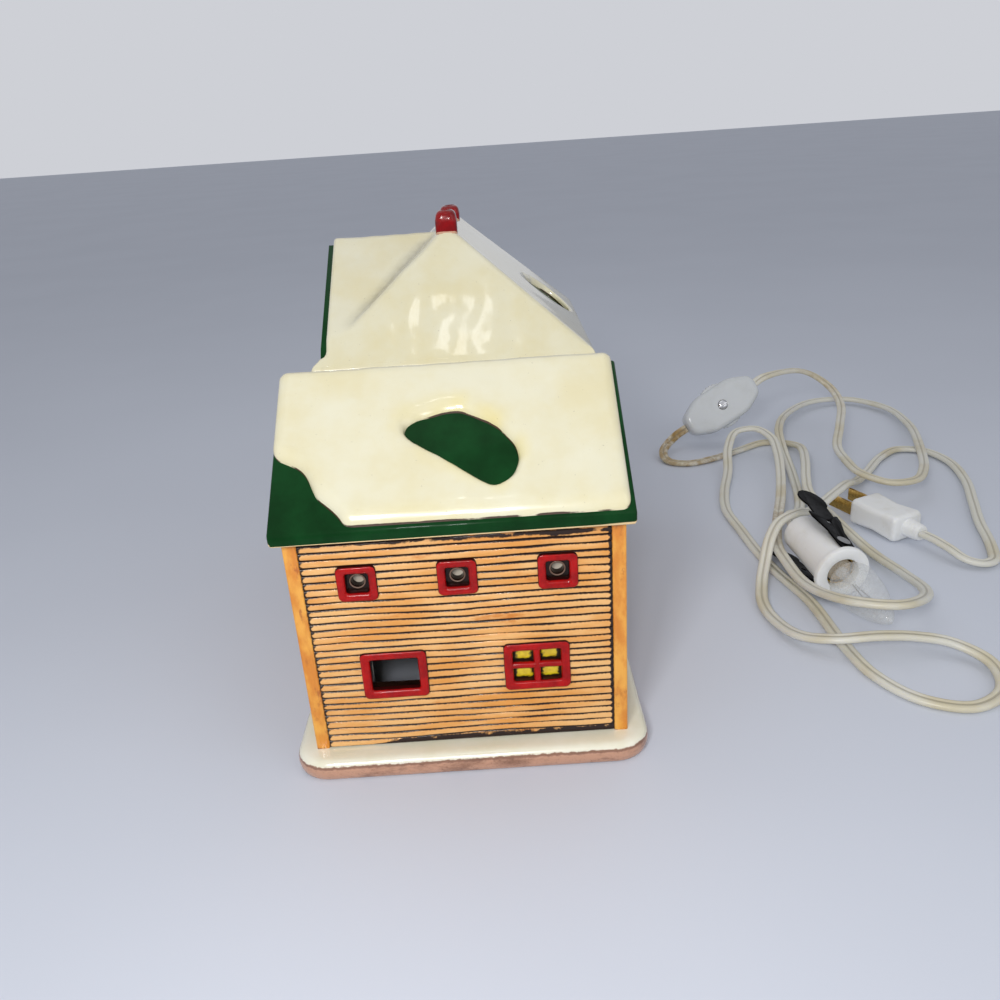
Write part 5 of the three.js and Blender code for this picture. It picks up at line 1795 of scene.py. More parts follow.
@dataclass
class HouseShell:
    """The whole ceramic house."""

    house: House
    roofs: Roofs
    light_hole: float = 14.3

    def windows(self) -> dict[str, list[Opening]]:
        """Finds each wall's windows and door among the nodes.

        Returns:
            The openings, by wall.
        """
        walls = {"near": "near", "wingLeft": "wing_left", "wingRight": "wing_right", "front": "front",
                 "far": "far", "door": "front"}
        found: dict[str, list[Opening]] = {}
        for node in sorted(name for name in frame["nodes"] if "_frame" in name):
            wall = walls[node.split("_")[0]]
            axes = self.house.walls[wall]
            low, high = box(node)
            size = high - low
            opening = Opening(node, axes, *axes.across((low + high) / 2), float(max(size[:2])),
                              float(size[2]))
            found.setdefault(wall, []).append(opening)
        return found

    def build(self) -> None:
        """Builds every piece of the house."""
        openings = self.windows()
        low, high = frame_opening("light_hole")
        hole = (*self.house.walls["back"].across((low + high) / 2), self.light_hole)
        walls = {"near_wall": "near", "wing_left_wall": "wing_left", "wing_right_wall": "wing_right",
                 "main_left_wall": "front", "main_right_wall": "back", "far_wall": "far",
                 "main_near_wall": "upper"}
        for node, wall in walls.items():
            Siding(node, wall, self.house, self.roofs, openings.get(wall, []),
                   hole if wall == "back" else None).build()
        kit = WindowKit(self.house.wall)
        for held in openings.values():
            for opening in held:
                kit.build(opening)
                if opening.node == "door_frame":
                    Door().build(opening)
        for place in ("near_left", "near_right", "far_left", "far_right"):
            CornerBoards().build("corner_board_" + place, self.roofs)
        BaseSlab().build(self.house)
        for node in ("wing_roof", "main_roof"):
            RoofSlab(node).build(self.roofs)
        self.snow()
        for node in ("chimney_near", "chimney_far"):
            Chimney(node).build(self.roofs, Snow.thickness)

    def snow(self) -> None:
        """Builds the snow on both roofs."""
        low, high = box("wing_snow")
        slab_low, slab_high = box("wing_roof")
        eave = slab_low[1]
        patch = smooth_outline([(x, eave + up) for x, up in BARE_PATCH], 3.0, 0.8)
        corner = [(low[0] + inward, eave + up) for inward, up in BARE_CORNER[1:]]
        left, right = slab_low[0] + 0.1, slab_high[0] - 1.0
        rim = smooth_outline([(right - 0.4, low[1]), (right, high[1]), (left, high[1]),
                              (left, eave + BARE_CORNER[0][1]), *corner], 3.2, 0.8)
        Snow("wing_snow", rim, [patch], self.roofs, rounding=3.0, stains=True).build()
        low, high = box("main_snow")
        slab_low, slab_high = box("main_roof")
        overhang, set_back = 1.5, 2.1
        left = float(box("main_left_wall")[0][0]) - overhang + set_back
        middle = (self.house.main_face + self.house.far_face) / 2
        slot = smooth_outline([(slab_high[0] - inward, middle + beyond) for inward, beyond in BARE_SLOT],
                              3.0, 0.8)
        near, turn = slab_low[1] + 0.1, slab_low[1] + 5.0
        rim = smooth_outline([(low[0], near), (high[0], near), (high[0], high[1]), (left, high[1]),
                              (left, turn), (low[0], turn)], 2.2, 0.8)
        Snow("main_snow", rim, [slot], self.roofs, rounding=1.4, plain_below=7.0).build()


def frame_opening(name: str) -> tuple[np.ndarray, np.ndarray]:
    """Finds an opening of the record.

    Args:
        name: The opening's name.

    Returns:
        Its lowest and highest corners, in millimetres.
    """
    held = next(item for item in frame["record"]["physics"]["openings"] if item["name"] == name)
    low, high = held["box_m"]
    return np.array(low) / MM, np.array(high) / MM


# The lamp lead


def axes_matrix(origin: Point, along_z: Point, along_x: Point) -> Matrix:
    """A frame in millimetres from its origin, its z axis and a hint of its x axis.

    Args:
        origin: The origin.
        along_z: The z axis.
        along_x: The direction that the x axis leans to.

    Returns:
        The matrix.
    """
    z, hint = Vector(along_z).normalized(), Vector(along_x)
    x = (hint - z * hint.dot(z)).normalized()
    turn = Matrix((x, z.cross(x), z)).transposed().to_4x4()
    return Matrix.Translation(Vector(origin)) @ turn


def joint(name: str) -> dict:
    """A joint of the frame by its name."""
    return next(j for j in frame["joints"] if j["name"] == name)


@dataclass
class LampHolder:
    """The white holder with its flange, the bulb, and the two riveted spring clips."""

    length: float = 37.0
    neck_radius: float = 4.0
    neck_length: float = 2.5
    rear_radius: float = 8.6
    body_radius: float = 9.8
    flange_radius: float = 12.0
    flange: float = 3.0
    bore: float = 7.0
    bore_depth: float = 23.0
    flat: float = 9.2
    bulb_radius: float = 9.6
    bulb_length: float = 36.0
    base_radius: float = 5.8
    threads: int = 4
    rivet_away: float = 8.1
    rivet_along: float = 27.5

    def __post_init__(self) -> None:
        """Reads the holder's axes from the joints."""
        turn = joint("bulb_turn")
        self.matrix = axes_matrix(Vector(turn["pos_m"]) / MM, turn["axis"], joint("upper_clip_press")["axis"])

    def shell(self) -> None:
        """Builds the holder's shell."""
        neck, rear, body, flange, bore = (self.neck_radius, self.rear_radius, self.body_radius,
                                          self.flange_radius, self.bore)
        end, back, floor = self.length, self.length - self.flange, self.length - self.bore_depth
        profile = np.array([
            (0, -self.neck_length), (neck - 0.6, -self.neck_length), (neck, -self.neck_length + 0.6),
            (neck, -0.2), (neck + 0.3, 0), (rear - 1.2, 0), (rear - 0.35, 0.3), (rear, 1.1), (rear + 0.3, 8),
            (rear + 0.6, 16), (rear + 0.95, 24), (body, back - 3), (body, back - 0.5),
            (body + 0.3, back - 0.1), (flange - 0.6, back), (flange - 0.15, back + 0.25),
            (flange, back + 0.8), (flange, end - 0.8),
            (flange - 0.25, end - 0.25), (flange - 0.9, end), (bore + 0.5, end), (bore + 0.1, end - 0.25),
            (bore, end - 0.8), (bore, floor), (0, floor)])
        dense = np.vstack([np.linspace(a, b, max(1, int(abs(b[1] - a[1]) / 2)), endpoint=False)
                           for a, b in zip(profile, profile[1:])] + [profile[-1:]])
        skin = Skin()
        skin.turned(dense, 96, [0.5 * (abs(z - back + 0.2) < 0.4 and r > body - 0.2) for r, z in dense])
        for part in skin.points:
            x, y, z = part.T
            on_body = (z > -0.01) & (z < back - 0.05) & (np.hypot(x, y) > bore + 0.6)
            part[on_body, 1] = np.clip(y[on_body], -self.flat, self.flat)
        skin.move(self.matrix).build("holder_shell", ["plastic"], Slot.PLASTIC, ["socket_shell"], crease=40)

    def bulb(self) -> None:
        """Builds the bulb's threaded base and its glass with a stem and a filament."""
        radius, widest_radius = self.base_radius, self.bulb_radius
        seat = self.length - self.bore_depth + 2.8
        neck, top = seat + 2.1, seat + 16.1
        base = [(0.0, seat), (1.6, seat), (2.3, seat + 0.9), (2.6, seat + 1.3), (radius - 1.4, neck)]
        base += [(radius - 0.2 + 0.2 * math.cos(share * self.threads * 2 * math.pi), neck + 0.8 + share * 12)
                 for share in np.linspace(0, 1, self.threads * 10 + 1)]
        base += [(radius - 0.4, top), (radius - 1.0, top), (0.0, top)]
        skin = Skin()
        skin.turned(base)
        skin.move(self.matrix).build("bulb_thread", ["brass"], Slot.BRASS, ["bulb_base"], Body.BULB, 40)
        start, mouth, widest = top + 0.3, self.length + 0.3, self.length + 8.0
        end = self.length + self.bulb_length
        profile = [(0.0, start), (radius - 0.4, start), (radius - 0.4, mouth)]
        profile += [(radius + (widest_radius - radius) * math.sin(part * math.pi / 2),
                     mouth + (widest - mouth) * part) for part in np.linspace(0, 1, 9)[1:]]
        profile += [(widest_radius * max(0.0, 1 - part ** 1.9) ** 0.75, widest + (end - widest) * part)
                    for part in np.linspace(0, 1, 33)[1:]]
        glass = Skin()
        glass.turned(profile, 72)
        glass.move(self.matrix).build("bulb_envelope", ["glass"], Slot.GLASS, ["bulb_glass"], Body.BULB, 60)
        self.filament(mouth)

    def filament(self, mouth: float) -> None:
        """Builds the glass stem with two wires and the filament between them.

        Args:
            mouth: The level of the holder's mouth.
        """
        skin = Skin()
        stem = ((0.0, -2), (2.6, -2), (2.0, 4), (0.9, 9), (0.8, 11), (0.0, 11.2))
        skin.turned([(r, mouth + z) for r, z in stem], 24)
        for side in (-1, 1):
            wire = [(side * 0.6, 0, mouth + 8), (side * 1.4, 0, mouth + 13), (side * 2.6, 0, mouth + 19)]
            tube(skin, np.array(wire), 0.18, 8)
        t = np.linspace(0, 1, 120)
        sag = 0.35 * np.cos(t * 60) - 1.2 * np.sin(t * math.pi)
        tube(skin, np.column_stack([-2.6 + 5.2 * t, 0.35 * np.sin(t * 60), mouth + 19 + sag]), 0.07, 6)
        skin.move(self.matrix).build("bulb_filament", ["glass", "rivet"], Slot.GLASS, (), Body.BULB)

    def clips(self) -> None:
        """Builds the two clips and their rivets."""
        for name, body in (("upper", Body.UPPER_CLIP), ("lower", Body.LOWER_CLIP)):
            softened("clip_" + name, f"clip_{name}_leaf", "clip", Slot.CLIP, 0.18, body=body)
        for name, side in (("upper", 1), ("lower", -1)):
            skin = Skin()
            skin.turned([(0.0, 0.0), (1.2, 0.0), (1.2, 2.9), (2.9, 2.9), (3.0, 3.1), (2.65, 3.4), (2.2, 3.5),
                         (1.7, 3.15), (1.1, 3.1), (0.0, 3.1)], 40)
            place = Matrix.Translation((0, side * self.rivet_away, self.rivet_along))
            skin.move(self.matrix @ place @ Matrix.Rotation(math.radians(-90 * side), 4, "X"))
            skin.build(f"clip_rivet_{name}_head", ["rivet"], Slot.RIVET, ["clip_rivet_" + name], crease=40)

    def build(self) -> None:
        """Builds the holder and what it carries, and dresses its contacts."""
        self.shell()
        self.bulb()
        self.clips()
        for node in ("socket_screw_shell", "socket_centre_contact"):
            held = frame["nodes"][node]
            held.data.materials.clear()
            held.data.materials.append(PALETTE("brass"))


def directions(line: np.ndarray) -> np.ndarray:
    """The unit tangent at each point of a line."""
    tangents = np.gradient(line, axis=0)
    return tangents / np.linalg.norm(tangents, axis=1)[:, None]


def tube(skin: Skin, path: np.ndarray, radius: float, sides: int) -> None:
    """Adds a round wire along a path, in the piece's second finish.

    Args:
        skin: The skin to add to.
        path: The path's points.
        radius: The wire's radius.
        sides: How many sides it has.
    """
    ring = circle(radius, sides)
    loops = []
    for place, tangent in zip(path, directions(path)):
        across = np.cross(tangent, (0.3, 0.9, 0.31))
        across /= np.linalg.norm(across)
        loops.append(place + ring[:, :1] * across + ring[:, 1:] * np.cross(across, tangent))
    skin.loft(loops, 1)


@dataclass
class SwitchCase:
    """The in-line switch: two glossy halves, a thumbwheel between them and a screw."""

    length: float = 50.0
    width: float = 25.0
    face: float = 7.0
    end_width: float = 12.0
    end_length: float = 13.0
    wheel_radius: float = 14.3
    wheel_thickness: float = 4.0
    teeth: int = 40
    screw_well: float = 3.4
    screw_radius: float = 2.8
    slot: float = 0.42
    along: Point = (0.867, 0.204, 0.455)

    def __post_init__(self) -> None:
        """Reads the switch's axes from its joint."""
        turn = joint("switch_wheel_turn")
        self.matrix = axes_matrix(Vector(turn["pos_m"]) / MM, turn["axis"], self.along)

    def half(self, side: int, node: str) -> None:
        """Builds one half of the case.

        Args:
            side: 1 for the cover, -1 for the base.
            node: The node that it stands for.
        """
        a, b, face = self.length / 2, self.width / 2, self.face
        end_a, end_b = a - self.end_length, self.end_width / 2
        corners = [(a, -end_b), (a, end_b), (end_a, b), (-end_a, b), (-a, end_b), (-a, -end_b), (-end_a, -b),
                   (end_a, -b)]
        outline = counter_clockwise(smooth_outline(corners, 4.5, 0.7))
        levels = [(0.9, 0.15), (0.0, 0.2), (0.0, 0.6), (0.12, 2.5), (0.3, face - 2.6), (0.65, face - 1.5),
                  (1.25, face - 0.7), (2.1, face - 0.22), (3.2, face - 0.02), (4.4, face)]
        loops = [at_level(inset(outline, distance), z) for distance, z in levels]
        skin = Skin()
        skin.loft(loops, 0, (False, side < 0), wash=[0.6 if z < 0.3 else 0.0 for _, z in levels])
        if side > 0:
            last = loops[-1]
            angles = np.arctan2(last[:, 1], last[:, 0])
            around = np.stack([np.cos(angles), np.sin(angles)], 1)
            well = at_level(self.screw_well * around, face)
            rings = [last * (1 - share) + well * share for share in (0, 0.5, 0.85)] + [well]
            rings += [at_level(radius * around, face - below)
                      for radius, below in ((3.1, 0.1), (3.0, 0.4), (3.0, 1.3), (0.5, 1.35))]
            skin.loft(rings, 0, (False, True), wash=[0, 0, 0, 0, 0.2, 0.9, 0.9, 0.9])
        else:
            skin.points = [p * np.array([1, 1, -1.0]) for p in skin.points]
            skin.faces = [f[::-1] for f in skin.faces]
        skin.move(self.matrix)
        skin.build(node + "_moulded", ["switch_plastic"], Slot.PLASTIC, [node], crease=40)

    def wheel(self) -> None:
        """Builds the knurled thumbwheel."""
        count, half = self.teeth * 6, self.wheel_thickness / 2
        around = circle(1.0, count)
        knurl = 0.22 * (1 + np.cos(np.arange(count) / count * 2 * math.pi * self.teeth))[:, None]
        levels = [(8.0, -half, 0.0), (1.2, -half, 0.0), (0.35, 0.3 - half, 0.5), (0.0, 0.9 - half, 1.0)]
        levels += [(distance, -z, share) for distance, z, share in levels[::-1]]
        skin = Skin()
        skin.loft([at_level((self.wheel_radius - distance - share * knurl) * around, z)
                   for distance, z, share in levels], wash=0.0)
        skin.move(self.matrix)
        skin.build("thumbwheel_knurled", ["switch_plastic"], Slot.PLASTIC, ["switch_thumbwheel"],
                   Body.WHEEL, 60)

    def screw(self) -> None:
        """Builds the domed screw with its slot."""
        radius, face = self.screw_radius, self.face
        profile = [(0.0, face - 5), (1.4, face - 5), (1.4, face - 1.1), (radius, face - 1.1)]
        profile += [(radius * math.cos(angle), face - 0.1 + math.sin(angle))
                    for angle in np.linspace(0, math.pi / 2, 9)]
        skin = Skin()
        skin.turned(profile, 96)
        for part in skin.points:
            cut = (np.abs(part[:, 1]) < self.slot) & (part[:, 2] > face + 0.05)
            part[cut, 2] = face + 0.05
        skin.move(self.matrix).build("screw_domed", ["chrome"], Slot.SCREW, ["switch_screw"], crease=35)

    def build(self) -> None:
        """Builds the switch."""
        self.half(1, "switch_cover")
        self.half(-1, "switch_base")
        self.wheel()
        self.screw()


@dataclass
class MainsPlug:
    """The moulded two-blade plug."""

    length: float = 28.0
    width: float = 18.0
    height: float = 13.0
    tail: float = 9.0
    tail_length: float = 8.0
    heading: float = 113.5
    place: Point = (196, 68, 7)

    def __post_init__(self) -> None:
        """Works the plug's axes out from its heading."""
        turn = math.radians(self.heading)
        axis = Vector((math.cos(turn), math.sin(turn), 0))
        self.side = Vector((0, 0, 1)).cross(axis)
        self.matrix = axes_matrix(self.place, axis, -self.side)

    def build(self) -> None:
        """Builds the body and its blades."""
        back, end = -self.length, -self.length - self.tail_length
        ribs = [(-2.0, 3.4, end), (-1.6, 3.6, end + 0.5)]
        for k in range(1, 5):
            z = end + 0.5 + k * 1.5
            ribs += [(k * 0.2 - 1.2, 3.8, z), (k * 0.2 - 2.0, 3.4, z + 0.4)]
        levels = [(self.tail + more, self.tail + more, radius, z)
                  for more, radius, z in [*ribs, (0, 4.4, back)]]
        body = [(3, 3, 3.2, back), (1.2, 1.2, 3.0, back + 0.4), (0.2, 0.2, 2.8, back + 1.4),
                (0, 0, 2.6, back + 2.4), (0.7, 1.8, 2.6, back * 0.5), (0, 0, 2.4, -2.0),
                (0.5, 0.5, 2.4, -0.6), (1.6, 1.6, 2.2, 0.0)]
        levels += [(self.width - less, self.height - lower, radius, z) for less, lower, radius, z in body]
        skin = Skin()
        skin.loft([at_level(rounded_rect(*size, 8, 4), z) for *size, z in levels], wash=0.0)
        skin.move(self.matrix).build("plug_moulded", ["plastic"], Slot.PLASTIC, ["plug_body"], crease=40)
        for node in ("plug_blade_left", "plug_blade_right"):
            softened(node, node + "_stamped", "brass", Slot.BRASS, 0.2)


# Listed points of the lead, from the holder to the switch, in millimetres
LAMP_ROUTE = [
    (153, 50, 15), (163, 67, 8.5), (172, 92, 4), (180, 128, 3), (184, 158, 6.5), (190, 186, 9),
    (206, 219, 7.5), (232, 244, 6), (257, 246, 5), (273, 224, 5), (272, 188, 6), (257, 140, 9.5),
    (241, 101, 12), (228, 83, 14), (213, 79, 15.5), (203.5, 92, 16), (204, 114, 15), (208, 137, 14),
    (220, 166, 16), (229, 190, 21), (228, 204, 27), (219, 211, 34), (206, 209, 39),
]

# Listed points of the lead, from the switch to the plug, in millimetres
SUPPLY_ROUTE = [
    (115, 171, 5), (116, 160, 2.8), (126, 155, 2.4), (143, 160, 2.4), (163, 172, 2.4),
    (179, 181, 2.4), (190, 178, 2.6), (195, 166, 5), (193, 150, 8), (187, 128, 9.5), (180, 106, 9),
    (176, 88, 8), (179, 62, 6), (184, 28, 4), (187, 0, 7), (184, -24, 13), (174, -41, 19),
    (160, -50, 23), (147, -44, 22), (140.5, -29, 17.5), (138, -12, 14), (138, 8, 12.5),
    (138.5, 22, 12.5), (142, 36, 12.5), (147, 50, 10.5), (153, 67, 8), (160, 86, 8), (168, 112, 10),
    (174, 138, 13), (175, 154, 16), (169, 166, 17.5), (158, 167, 16), (150, 154, 11), (145, 134, 5),
    (137, 110, 2.6), (132, 86, 2.4), (133, 62, 2.4), (134.3, 40, 2.4), (137, 18, 2.4), (143, -10, 2.4),
    (144.5, -42, 2.4),
    (148, -64, 2.4), (158, -80, 2.4), (174, -86, 2.4), (188, -78, 3), (191, -64, 4.5), (182, -54, 7),
    (168, -51.5, 9.5), (154, -51, 10.5), (139, -49, 9), (129, -41, 6), (124, -26, 3.5), (123, -10, 3),
    (126, 3, 5), (130, 13, 10), (134.5, 21.5, 17.5), (141, 29, 22), (150, 32.5, 24.2), (157, 36, 22.8),
    (163.5, 42, 22.6), (175, 57, 20.5),
    (190, 77, 17), (205, 100, 8), (220, 122, 3.5), (237, 144, 3), (251, 154, 3), (264, 149, 3),
    (270, 132, 3), (266, 104, 3), (256, 76, 3), (247, 52, 3), (241.5, 33, 3), (237, 20.5, 3),
    (233.4, 13.6, 3.2), (226.8, 10.5, 3.8), (220.2, 13.3, 4.9), (216.8, 20.5, 6.2),
]


@dataclass
class Lead:
    """A limp flat twin cord, laid with its broad side down."""

    width: float = 5.2
    thick: float = 2.7
    round_diameter: float = 4.4
    straight: float = 6.6
    gap: float = 0.3
    step: float = 1.6
    wrap: float = 2.35
    end_reach: float = 14.0

    def section(self) -> Loop:
        """The twin section: two round strands with a groove between them.

        Returns:
            Points of (across, up), counter-clockwise.
        """
        strand = self.thick / 2
        offset = self.width / 2 - strand
        arcs = []
        for centre, middle in ((offset, 0.0), (-offset, math.pi)):
            angles = np.linspace(middle - self.wrap, middle + self.wrap, 13)
            arcs.append(np.stack([centre + strand * np.cos(angles), strand * np.sin(angles)], 1))
        return np.vstack(arcs)

    def centreline(self, start: tuple[Vector, Vector], route: Sequence[Point],
                   end: tuple[Vector, Vector]) -> np.ndarray:
        """A smooth line through the route, from port to port.

        Args:
            start: The first port's point and its way out.
            route: The listed points.
            end: The last port's point and its way out.

        Returns:
            Evenly spaced points, in millimetres.
        """
        places = [start[0], start[0] + start[1] * self.straight, *map(Vector, route),
                  end[0] + end[1] * self.straight, end[0]]
        points = catmull(np.array([tuple(p) for p in places]), 14)
        total = run_lengths(points)[-1]
        stations = np.linspace(0, total, int(total / self.step))
        even = at_stations(points, stations)
        ends = np.minimum(stations, total - stations)
        even[:, 2] -= (self.round_diameter - self.thick) / 2 * np.clip((ends - 8) / 20, 0, 1)
        return even

    def build(self, name: str, node: str, line: np.ndarray, stains: Sequence[tuple[float, float, float]],
              turns: tuple[Vector, Vector]) -> bpy.types.Object:
        """Builds the cord along its line.

        Args:
            name: The piece's name.
            node: The node that it stands for.
            line: The centreline.
            stains: Stretches of stain, each as its middle and reach along the cord and its strength.
            turns: The broad side's direction at each end.

        Returns:
            The cord.
        """
        section, along = self.section(), run_lengths(line)
        first, final = (np.array(turn) for turn in turns)
        near_start, near_end = (np.exp(-(gap / self.end_reach) ** 2) for gap in (along, along[-1] - along))
        loops, across = [], first
        for place, tangent, station, begun, ended in zip(line, directions(line), along, near_start, near_end):
            level = np.cross(tangent, [0, 0, 1.0])
            level /= max(np.linalg.norm(level), 1e-6)
            if level @ across < 0:
                level = -level
            target = level + np.array([0, 0, 0.12 * wobble(station / 40, 2.0)])
            target = target * (1 - begun) + first * begun
            if final @ target < 0:
                final = -final
            across = 0.75 * across + 0.25 * (target * (1 - ended) + final * ended)
            across -= (across @ tangent) * tangent
            across /= np.linalg.norm(across)
            up = np.cross(across, tangent)
            if up[2] < 0 and begun + ended < 0.2:
                up = -up
            loops.append(place + section[:, :1] * across + section[:, 1:] * up)
        stack = np.array(loops)
        groove = np.broadcast_to(np.exp(-(section[:, 0] / 0.55) ** 2), stack.shape[:2])
        stain = sum(strength * np.exp(-((along - middle) / reach) ** 2) for middle, reach, strength in stains)
        skin = Skin()
        skin.grid(stack, wrap=True, flip=True, wash=groove,
                  stain=np.repeat(np.minimum(1.0, stain), stack.shape[1]).reshape(stack.shape[:2]))
        count = len(section)
        for ring in (stack[0], stack[-1]):
            skin.add(np.vstack([ring, ring.mean(0)]), [(k, (k + 1) % count, count) for k in range(count)])
        return skin.build(name, ["cord"], Slot.CORD, [node], crease=80)


def catmull(points: np.ndarray, steps: int) -> np.ndarray:
    """A centripetal Catmull-Rom line through points.

    Args:
        points: The points.
        steps: How many steps each span has.

    Returns:
        The line's points.
    """
    def blend(held: Sequence[np.ndarray], i: int, start: float, end: float, now: float) -> np.ndarray:
        """The place between two points that a moment between their two times gives."""
        return (end - now) / (end - start) * held[i] + (now - start) / (end - start) * held[i + 1]

    padded = np.vstack([2 * points[0] - points[1], points, 2 * points[-1] - points[-2]])
    line = []
    for index in range(1, len(padded) - 2):
        p = padded[index - 1:index + 3]
        t = np.concatenate([[0], np.cumsum(np.linalg.norm(np.diff(p, axis=0), axis=1) ** 0.5)])
        for now in np.linspace(t[1], t[2], steps, endpoint=False):
            a = [blend(p, i, t[i], t[i + 1], now) for i in range(3)]
            b = [blend(a, i, t[i], t[i + 2], now) for i in range(2)]
            line.append(blend(b, 0, t[1], t[2], now))
    line.append(points[-1])
    return np.array(line)


@dataclass
class LampLead:
    """The whole lead: the holder, the switch, the plug and the two runs of cord."""

    holder: LampHolder = field(default_factory=LampHolder)
    switch: SwitchCase = field(default_factory=SwitchCase)
    plug: MainsPlug = field(default_factory=MainsPlug)
    cord: Lead = field(default_factory=Lead)

    def port(self, matrix: Matrix, way: Point, reach: float) -> tuple[Vector, Vector]:
        """Where a cord meets a piece, a reach from its origin, and its way out of it."""
        out = Vector(way)
        return matrix @ (out * reach + out * self.cord.gap), (matrix.to_3x3() @ out).normalized()

    def build(self) -> None:
        """Builds every piece of the lead and logs its cords' lengths."""
        self.holder.build()
        self.switch.build()
        self.plug.build()
        lamp = self.port(self.holder.matrix, (0, 0, -1), self.holder.neck_length)
        left, right = (self.port(self.switch.matrix, (way, 0, 0), self.switch.length / 2) for way in (-1, 1))
        far = self.port(self.plug.matrix, (0, 0, -1), self.plug.length + self.plug.tail_length)
        side = self.switch.matrix.to_3x3() @ Vector((0, 1, 0))
        level = Vector((1, 0.1, 0)).normalized()
        line = self.cord.centreline(lamp, LAMP_ROUTE, right)
        piece = self.cord.build("lamp_cord_twin", "lamp_cord", line, [(600, 30, 0.35)], (level, side))
        self.declare(piece, line, "object", [
            "holder_shell", "bulb_thread", "bulb_envelope", "bulb_filament", "clip_upper_leaf",
            "clip_lower_leaf", "clip_rivet_upper_head", "clip_rivet_lower_head"])
        line = self.cord.centreline(left, SUPPLY_ROUTE, far)
        piece = self.cord.build("supply_cord_twin", "supply_cord", line,
                                [(14, 26, 1.0), (60, 22, 0.7), (478, 30, 0.75)],
                                (side, self.plug.side.normalized()))
        self.declare(piece, line, "plug", [
            "plug_moulded", "plug_blade_left_stamped", "plug_blade_right_stamped", "switch_cover_moulded",
            "switch_base_moulded", "thumbwheel_knurled", "screw_domed"])

    @staticmethod
    def declare(piece: bpy.types.Object, line: np.ndarray, far_end: str, others: Sequence[str]) -> None:
        """Logs a cord's real length.

        Args:
            piece: The cord.
            line: Its centreline.
            far_end: Not used.
            others: Not used.
        """
        length = float(run_lengths(line)[-1])
        LOG.info("%s: %.0f mm long", piece.name, length)
        [c * MM for c in line[0]]
        Lead.width * MM
        (line * MM).tolist()


# The camera, the floor and the light


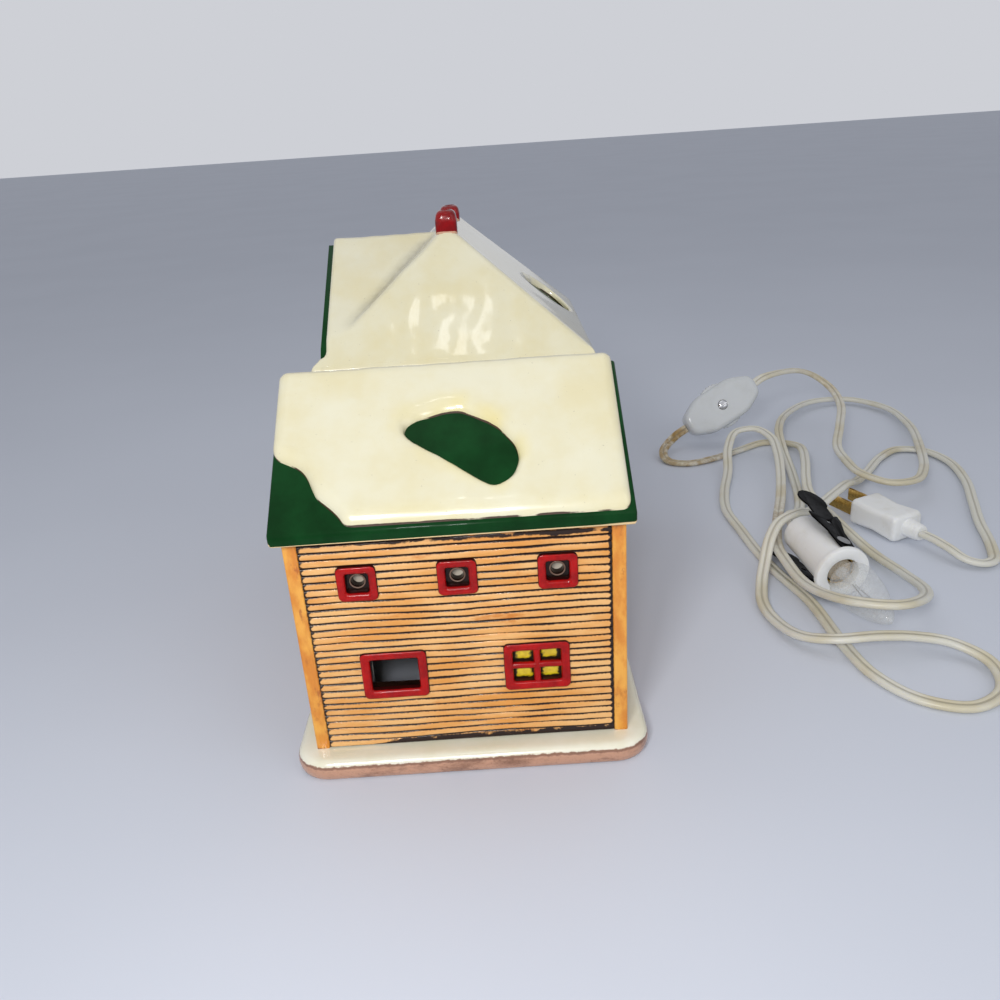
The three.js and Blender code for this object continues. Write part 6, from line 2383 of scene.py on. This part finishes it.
@dataclass
class Studio:
    """The photograph's viewpoint, a plain pale floor and soft light."""

    eye: Point = (16.195, -334.41, 200.20)
    forward: Point = (-0.00533587, 0.91593766, -0.4012851)
    upward: Point = (0.06597503, 0.40073893, 0.91381377)
    lens: float = 31.845
    floor: Colour = linear(214, 219, 230)
    floor_shade: Colour = linear(204, 209, 220)
    floor_reach: float = 6.0
    around: Colour = linear(222, 224, 230)
    seen: Colour = linear(206, 208, 214)

    @staticmethod
    def link(name: str, data: bpy.types.ID) -> bpy.types.Object:
        """Puts new data into the scene.

        Args:
            name: The object's name.
            data: What it holds.

        Returns:
            The object.
        """
        made = bpy.data.objects.new(name, data)
        bpy.context.scene.collection.objects.link(made)
        return made

    def camera(self) -> None:
        """Sets the camera."""
        data = bpy.data.cameras.new("view")
        data.lens = self.lens
        data.sensor_width = 36.0
        data.clip_start = 0.01
        data.clip_end = 20.0
        camera = self.link("view", data)
        back = -Vector(self.forward).normalized()
        right = Vector(self.upward).cross(back).normalized()
        turn = Matrix((right, back.cross(right), back)).transposed().to_4x4()
        camera.matrix_world = Matrix.Translation(Vector(self.eye) * MM) @ turn
        bpy.context.scene.camera = camera

    def light(self, name: str, place: Point, target: Point, size: float, watts: float) -> None:
        """Adds a soft square lamp.

        Args:
            name: The lamp's name.
            place: Where it stands, in millimetres.
            target: What it points at, in millimetres.
            size: Its side, in millimetres.
            watts: Its power.
        """
        data = bpy.data.lights.new(name, "AREA")
        data.size = size * MM
        data.energy = watts
        lamp = self.link(name, data)
        lamp.location = Vector(place) * MM
        lamp.rotation_mode = "QUATERNION"
        lamp.rotation_quaternion = (Vector(target) - Vector(place)).to_track_quat("-Z", "Y")

    def floor_plane(self) -> None:
        """Adds the pale floor."""
        mesh = bpy.data.meshes.new("floor")
        reach = self.floor_reach
        mesh.from_pydata([(-reach, -reach, 0), (reach, -reach, 0), (reach, reach, 0), (-reach, reach, 0)],
                         [], [(0, 1, 2, 3)])
        graph = Graph("floor_cloth")
        soft = graph.noise(180.0, 2.0, 0.5).step(0.3, 0.7)
        tint = graph.mix(soft * 0.25, self.floor, self.floor_shade)
        mesh.materials.append(graph.finish({"Base Color": tint, "Roughness": 0.85}))
        self.link("floor", mesh)

    def world(self) -> None:
        """Sets a soft grey world that the camera, gloss and glass see as a pale wall."""
        world = bpy.data.worlds.new("room")
        world.use_nodes = True
        nodes, link = world.node_tree.nodes, world.node_tree.links.new
        back, pale = nodes["Background"], nodes.new("ShaderNodeBackground")
        back.inputs[0].default_value = (*self.around, 1.0)
        back.inputs[1].default_value = 0.5
        pale.inputs[0].default_value = (*self.seen, 1.0)
        rays = nodes.new("ShaderNodeLightPath")
        share = rays.outputs["Is Camera Ray"]
        for name in ("Is Glossy Ray", "Is Transmission Ray"):
            most = nodes.new("ShaderNodeMath")
            most.operation = "MAXIMUM"
            link(share, most.inputs[0])
            link(rays.outputs[name], most.inputs[1])
            share = most.outputs[0]
        either = nodes.new("ShaderNodeMixShader")
        for index, output in enumerate((share, back.outputs[0], pale.outputs[0])):
            link(output, either.inputs[index])
        link(either.outputs[0], nodes["World Output"].inputs[0])
        bpy.context.scene.world = world

    def build(self) -> None:
        """Sets up the camera, floor, world and lamps."""
        self.camera()
        self.floor_plane()
        self.world()
        self.light("key", (-150, -560, 400), (0, 0, 60), 110, 1.5)
        self.light("flash", (-6, -410, 262), (0, 0, 60), 40, 0.4)
        self.light("gleam", (-32, -262, 800), (0, 0, 110), 50, 0.035)
        self.light("fill", (520, -420, 420), (30, 0, 60), 500, 0.5)
        self.light("top", (0, 180, 800), (0, 20, 60), 600, 0.4)
        bpy.context.scene.view_settings.view_transform = "Standard"


def main() -> None:
    """Builds the scene, piece by piece."""
    logging.basicConfig(level=logging.INFO, format="%(name)s: %(message)s")
    noise.seed_set(NOISE_SEED)
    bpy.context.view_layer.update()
    Studio().build()
    LampLead().build()
    house = House()
    roofs = Roofs(["wing_roof", "main_roof"])
    HouseShell(house, roofs).build()


if __name__ == "__main__":
    main()
